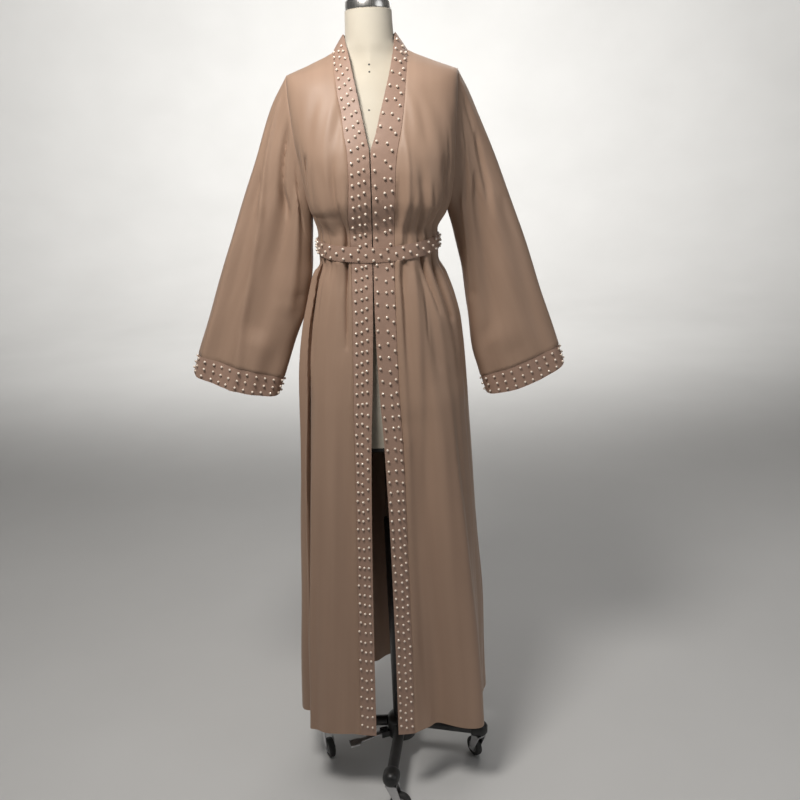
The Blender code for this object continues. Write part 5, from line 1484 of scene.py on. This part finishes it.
def end_cap(name, direction, look):
    """A blunt rounded cap with a flat under it for the castor."""
    loops = []
    for along in np.concatenate(([-1.0], steps(-1.0, 1.0, CAP_ROWS))):
        middle = direction * (LEG_END + CAP_HALF_LENGTH * (1 + along)) + UP * LEG_HEIGHT_OUT
        size = float(smooth(END_CAP, "size", along, "along"))
        across = level_across(direction) * CAP_HALF_WIDTH * size
        loop = round_loop(middle, across, UP * CAP_HALF_HEIGHT * size, CAP_SIDES)
        for point in loop:
            point.z = max(point.z, CAP_FOOT)
        loops.append(loop)
    piece = lofted("leg_end_cap_" + name, loops, look["plastic"], CAP_EDGE)
    as_piece(piece, "base", "black_plastic", "end_cap_" + name)


def castor_fork(row, pivot, trail, look):
    """An upside-down U, with the heads of its axle bolt on either side."""
    across = level_across(trail)
    half = FORK_INNER / 2
    outer, top = half + FORK_PLATE, CAP_FOOT - SEAM
    crown = top - FORK_CROWN
    outline = (
        (-outer, FORK_FOOT),
        (-outer, top),
        (outer, top),
        (outer, FORK_FOOT),
        (half, FORK_FOOT),
        (half, crown),
        (-half, crown),
        (-half, FORK_FOOT),
    )
    loops = []
    for end in (-1, 1):
        reach = {z: end * FORK_CROWN_HALF for z in (top, crown)}
        reach[FORK_FOOT] = CASTOR_TRAIL + end * FORK_FOOT_HALF
        loops.append(placed(pivot, trail, across, [(reach[z], side, z) for side, z in outline]))
    body = "fork_" + row.name
    fork = lofted("castor_yoke_" + row.name, loops, look["steel"], HARD_EDGE, FORK_ROUNDING)
    as_piece(fork, body, "zinc_steel", "castor_fork_" + row.name)
    axle = pivot + trail * CASTOR_TRAIL + UP * WHEEL_RADIUS
    for side, word in ((-1, "inner"), (1, "outer")):
        loops = [
            round_loop(axle + across * side * out, trail * BOLT_RADIUS, UP * BOLT_RADIUS, 6)
            for out in (outer, outer + BOLT_HEIGHT)
        ]
        bolt = lofted(f"axle_bolt_{word}_{row.name}", loops, look["steel"], HARD_EDGE, BOLT_ROUNDING)
        as_piece(bolt, body, "zinc_steel")


def castor_wheel(row, axle, trail, look):
    """A rounded tyre with a paler disc let into each side."""
    across = level_across(trail)

    def on_axle(name, profile, finish):
        loops = [
            round_loop(axle + across * out, UP * -radius, trail * radius, WHEEL_SIDES, 0.5)
            for radius, out in profile
        ]
        return lofted(name, loops, finish)

    profile = TREAD[::-1] + tuple((radius, -out) for radius, out in TREAD)
    body = "wheel_" + row.name
    tyre = on_axle("castor_tyre_" + row.name, profile, look["tyre"])
    as_piece(tyre, body, "castor_tyre", "wheel_" + row.name)
    for side, word in ((-1, "inner"), (1, "outer")):
        profile = [(radius, side * out) for radius, out in WHEEL_DISC]
        piece = on_axle(f"wheel_disc_{word}_{row.name}", profile, look["wheel"])
        as_piece(piece, body, "castor_tyre")


def pedal_bracket(out, look):
    """A U of flat plate beside the column, open outward."""
    half, outer = BRACKET_HALF, BRACKET_HALF + BRACKET_PLATE
    inside = BRACKET_NEAR + BRACKET_PLATE
    outline = (
        (BRACKET_NEAR, -outer),
        (BRACKET_FAR, -outer),
        (BRACKET_FAR, -half),
        (inside, -half),
        (inside, half),
        (BRACKET_FAR, half),
        (BRACKET_FAR, outer),
        (BRACKET_NEAR, outer),
    )
    loops = []
    for rise in (BRACKET_HALF_HEIGHT, -BRACKET_HALF_HEIGHT):
        places = [(reach, side, rise) for reach, side in outline]
        loops.append(placed(UP * PEDAL_PIVOT_HEIGHT, out, level_across(out), places))
    bracket = lofted("pedal_yoke", loops, look["plastic"], HARD_EDGE, BRACKET_ROUNDING)
    as_piece(bracket, "base", "black_plastic", "pedal_bracket")


def pedal_lever(pivot, out, look):
    """A bar that dips outward and ends in a wider foot plate."""
    thick = PEDAL_THICKNESS / 2
    corners = ((-1, -1), (-1, 1), (1, 1), (1, -1))
    loops = []
    for row in PEDAL:
        places = [(row.reach, row.half_width * a, thick * b - row.drop) for a, b in corners]
        loops.append(placed(pivot, out, level_across(out), places))
    lever = lofted("pedal_lever", loops, look["steel"], HARD_EDGE, LEVER_ROUNDING)
    as_piece(lever, "pedal", "zinc_steel", "pedal")


def pedal_ribs(pivot, out, look):
    """Low ribs across the foot plate, each sunk a little into it."""
    inner_end, outer_end = PEDAL[-2:]
    for number in range(PEDAL_RIBS):
        share = (number + RIB_MARGIN) / (PEDAL_RIBS - 1 + 2 * RIB_MARGIN)
        reach = mix(inner_end.reach, outer_end.reach, share)
        rise = PEDAL_THICKNESS / 2 - mix(inner_end.drop, outer_end.drop, share)
        middle = pivot + out * reach + UP * rise
        loops = []
        for side, high in RIB_PROFILE:
            corners = ((-1, -RIB_SINK), (1, -RIB_SINK), (1, high), (-1, high))
            places = [(RIB_HALF * a, side, z) for a, z in corners]
            loops.append(placed(middle, out, level_across(out), places))
        rib = lofted(f"pedal_rib_{number + 1}", loops, look["steel"], HARD_EDGE)
        as_piece(rib, "pedal", "zinc_steel")


def pedal(look):
    out = heading(PEDAL_TURN)
    pivot = out * PEDAL_PIVOT_REACH + UP * PEDAL_PIVOT_HEIGHT
    pedal_bracket(out, look)
    pedal_lever(pivot, out, look)
    pedal_ribs(pivot, out, look)


def stand(look):
    hub_and_tubes(look)
    for row in CASTORS:
        direction = heading(-LEG_TURN - row.leg * math.pi / 2)
        leg(row.name, direction, look)
        end_cap(row.name, direction, look)
        trail = heading(math.radians(row.trail))
        pivot = direction * LEG_REACH
        castor_fork(row, pivot, trail, look)
        castor_wheel(row, pivot + trail * CASTOR_TRAIL + UP * WHEEL_RADIUS, trail, look)
    pedal(look)


# ---------------- the garment


def sewn_in(fronts, backs):
    """The two panels with the grooves of the seams between them."""
    number, _, outer = row_places(NECK_POINT)
    beside_arm = number < ARMHOLE_ROWS
    below = SEAM_DIP * ease((UNDERARM - outer) / SEAM_FADE) * ~beside_arm
    armhole = np.sin(np.pi * number / ARMHOLE_ROWS)
    armhole = ARMHOLE_DIP * np.clip(ARMHOLE_RISE * armhole, 0.0, 1.0) * beside_arm
    across = shares(FRONT_COLUMNS * FINER_COLUMNS)
    fall = SEAM_DIP * np.clip(SHOULDER_RISE * across * (1 - across), 0.0, 1.0)
    for side in WORD:
        front, back = fronts[side], backs[side]
        front[:, 0] = pushed_out(front[:, 0], -SEAM_DIP * ease(number))
        for panel in (front, back):
            panel[:, -1] = pushed_out(panel[:, -1], -below)
            panel[:, -1, 0] -= side * armhole
        front[0, :, 2] -= fall
        back[0, NECK_PLACES:, 2] -= fall


def cuff_and_sleeve(side, front, back, armhole, look):
    rings = sleeve(side, armhole)
    rings[0] = armhole_loop(front, back)
    rings[-1] += unit(rings[-1].mean(axis=0) - rings[-1]) * SEAM_DIP
    ends = cuff(side, rings[-1])
    ends[1:] += grid_normals(ends, True)[1:] * -side * CUFF_PROUD
    rings, ends = rings[:, ::-side], ends[:, ::-side]
    name = "sleeve_" + WORD[side]
    satin, trim = look["satin"], look["trim"]
    sheet_piece(name, rings, True, CLOTH, satin, "rose_satin")
    sheet_piece("cuff_" + WORD[side], ends, True, DOUBLED, trim, "rose_trim")
    return ends


def band_pearls(side, grid, rng):
    """Rows of three down a band, each with its own small mistakes, and none under the belt."""
    places = BAND_PEARLS[side]
    line = grid[:, grid.shape[1] // 2]
    length = lengths_along(line)
    number = np.arange(len(line))
    rows, columns = [], []
    at = length[NECK_PLACES] + PEARLS_START
    while at < length[-1]:
        z = np.interp(at, length, line[:, 2])
        pitch = float(smooth(places, "pitch", z))
        for pearl in ("edge", "middle", "seam"):
            fall = float(smooth(places, pearl + "_fall", z))
            share = float(smooth(places, pearl, z)) + rng.normal(0.0, SHARE_SLIP)
            place = at + fall * pitch + rng.normal(0.0, ROW_SLIP)
            height = np.interp(place, length, line[:, 2])
            hidden = abs(height - BELT_HEIGHT + BELT_DIP) < BELT_WIDTH / 2 + BELT_CLEAR
            if hidden or place > length[-1] - HEM_CLEAR:
                continue
            rows.append(np.interp(place, length, number))
            columns.append(share * (grid.shape[1] - 1))
        at += pitch
    return np.array(rows), np.array(columns)


def ring_pearls(grid, pitch, row_offsets, rng):
    """Columns of pearls round a ring, at shares of its width."""
    middle = grid[len(grid) // 2]
    length = lengths_along(np.concatenate((middle, middle[:1])))
    count = round(length[-1] / pitch)
    rows, columns = [], []
    for share, offset in row_offsets:
        at = (np.arange(count) + offset) * length[-1] / count + rng.normal(0.0, RING_SLIP, count)
        columns.append(np.interp(at % length[-1], length, np.arange(len(length))))
        rows.append((share + rng.normal(0.0, RING_SHARE_SLIP, count)) * (len(grid) - 1))
    return np.concatenate(rows), np.concatenate(columns)


def edge_runs(grid, ring, places, by_row):
    """Lines on a grid for stitches, at shares of its height or of its width."""
    normals = grid_normals(grid, ring)
    high, wide = len(grid) - 1, grid.shape[1] - 1
    runs = []
    for share in places:
        if by_row:
            column = np.arange(wide + 2 if ring else wide + 1, dtype=float)
            row = np.full_like(column, share * high)
        else:
            row = np.arange(high + 1, dtype=float)
            column = np.full_like(row, share * wide)
        runs.append((sample(grid, row, column, ring), sample(normals, row, column, ring)))
    return runs


def armhole_loop(front, back):
    """The edges of a front and of the back round an armhole, from the shoulder seam."""
    rows = UNDERARM_ROW + 1
    return np.concatenate((front[:rows, -1], back[rows - 2 : 0 : -1, -1]))


def whole_back(halves):
    """The back panel, from the wearer's left to the right."""
    return np.concatenate((halves[LEFT][:, ::-1], halves[RIGHT][:, 1:]), axis=1)


def belt_ring(fronts, backs):
    """The belt round the unfolded panels and the flat bands, from the left band's free edge."""
    return belt_surface(
        flat_band(LEFT, fronts[LEFT][:, 0])[NECK_PLACES:],
        fronts[LEFT],
        whole_back(backs),
        fronts[RIGHT][:, ::-1],
        flat_band(RIGHT, fronts[RIGHT][:, 0])[NECK_PLACES:, ::-1],
    )


def hem_run(grid):
    """The line of stitches above a panel's hem."""
    share = 1 - HEM_STITCH / (HIP - HEM_HEIGHT) * SKIRT_ROWS[1] / (len(grid) - 1)
    return edge_runs(grid, False, (share,), True)


def garment(look):
    """The abaya: every piece that is cut and sewn, then its pearls and its stitching."""
    plain_fronts = {side: front_panel(side) for side in WORD}
    plain_backs = {side: back_half(side, plain_fronts[side][0]) for side in WORD}
    fronts = {side: hung(plain) for side, plain in plain_fronts.items()}
    backs = {side: hung(plain) for side, plain in plain_backs.items()}
    armholes = {side: armhole_loop(fronts[side], backs[side]) for side in WORD}
    bands = {side: band(side, fronts[side][:, 0]) for side in WORD}
    sewn_in(fronts, backs)
    for side in WORD:
        bands[side][NECK_PLACES:, -1] = fronts[side][:, 0]

    panels = {
        "front_left": fronts[LEFT],
        "front_right": fronts[RIGHT][:, ::-1],
        "back_panel": whole_back(backs),
    }
    trims = {"band_left": bands[LEFT], "band_right": bands[RIGHT][:, ::-1]}
    belt = belt_ring(plain_fronts, plain_backs)
    trim = look["trim"]
    for name, grid in panels.items():
        sheet_piece(name, grid, False, CLOTH, look["satin"], "rose_satin")
    for name, grid in trims.items():
        sheet_piece(name, grid, False, DOUBLED, trim, "rose_trim")
    sheet_piece("belt", belt, True, DOUBLED, trim, "rose_trim")

    rng = np.random.default_rng(PEARL_SEED)
    pearl, runs = look["pearl"], []
    for side, word in WORD.items():
        rows, columns = band_pearls(side, bands[side], rng)
        pearls("pearls_band_" + word, bands[side], False, rows, columns, pearl, side)
        runs += edge_runs(trims["band_" + word], False, BAND_STITCHES, False)
        cuff_ring = cuff_and_sleeve(side, fronts[side], backs[side], armholes[side], look)
        rows, columns = ring_pearls(cuff_ring, CUFF_PEARL_PITCH, CUFF_PEARLS, rng)
        pearls("pearls_cuff_" + word, cuff_ring, True, rows, columns, pearl)
        runs += edge_runs(cuff_ring, True, CUFF_STITCHES, True)
    rows, columns = ring_pearls(belt, BELT_PEARL_PITCH, BELT_PEARLS, rng)
    pearls("pearls_belt", belt, True, rows, columns, pearl)
    runs += edge_runs(belt, True, BELT_STITCHES, True)
    for grid in panels.values():
        runs += hem_run(grid)
    stitches("stitching", runs, look["thread"])


# ---------------- stage, light and camera


def stage(look):
    """A wide pale bowl: flat under the object, then rising far behind the camera."""
    profile = [(radius, 0.0) for radius in FLOOR_RINGS]
    for turn in steps(0.0, math.pi / 2, BOWL_ROWS):
        out, rise = BOWL_RADIUS * math.sin(turn), BOWL_RADIUS * (1 - math.cos(turn))
        profile.append((FLOOR_RINGS[-1] + out, rise))
    profile.append((FLOOR_RINGS[-1] + BOWL_RADIUS, BOWL_TOP))
    loops = [circle(radius, z, STAGE_SIDES) for radius, z in profile]
    lofted("studio_floor", loops, look["floor"], caps=(0,))


def area_light(row):
    light = bpy.data.lights.new(row.name, "AREA")
    light.shape = "DISK"
    light.size = row.size
    light.spread = math.radians(row.spread)
    light.energy = row.energy
    light.color = row.colour
    obj = bpy.data.objects.new(row.name, light)
    obj.location = row.at
    direction = Vector(row.towards) - Vector(row.at)
    obj.rotation_euler = direction.to_track_quat("-Z", "Y").to_euler()
    obj.visible_camera = False
    bpy.context.scene.collection.objects.link(obj)


def lights():
    for row in LIGHTS:
        area_light(row)
    world = bpy.data.worlds.new("studio")
    world.use_nodes = True
    background = world.node_tree.nodes["Background"]
    background.inputs["Color"].default_value = WORLD_COLOUR
    background.inputs["Strength"].default_value = WORLD_LIGHT
    bpy.context.scene.world = world


def camera():
    """The photograph's view: a little above the chest, tipped down and slightly rolled."""
    pitch, roll = math.radians(CAMERA_PITCH), math.radians(CAMERA_ROLL)
    forward = Vector((0, math.cos(pitch), -math.sin(pitch)))
    up = Vector((0, math.sin(pitch), math.cos(pitch)))
    right = Vector((1, 0, 0))
    across = right * math.cos(roll) - up * math.sin(roll)
    upright = right * math.sin(roll) + up * math.cos(roll)
    lens = bpy.data.cameras.new("camera")
    lens.sensor_width = SENSOR_WIDTH
    lens.lens = CAMERA_LENS
    obj = bpy.data.objects.new("camera", lens)
    turn = Matrix((across, upright, -forward)).transposed().to_4x4()
    obj.matrix_world = Matrix.Translation(CAMERA_AT) @ turn
    bpy.context.scene.collection.objects.link(obj)
    bpy.context.scene.camera = obj


def main():
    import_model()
    look = make_materials()
    camera()
    lights()
    stage(look)
    garment(look)
    dress_form(look)
    stand(look)
    bpy.context.scene.view_settings.view_transform = "Standard"


main()
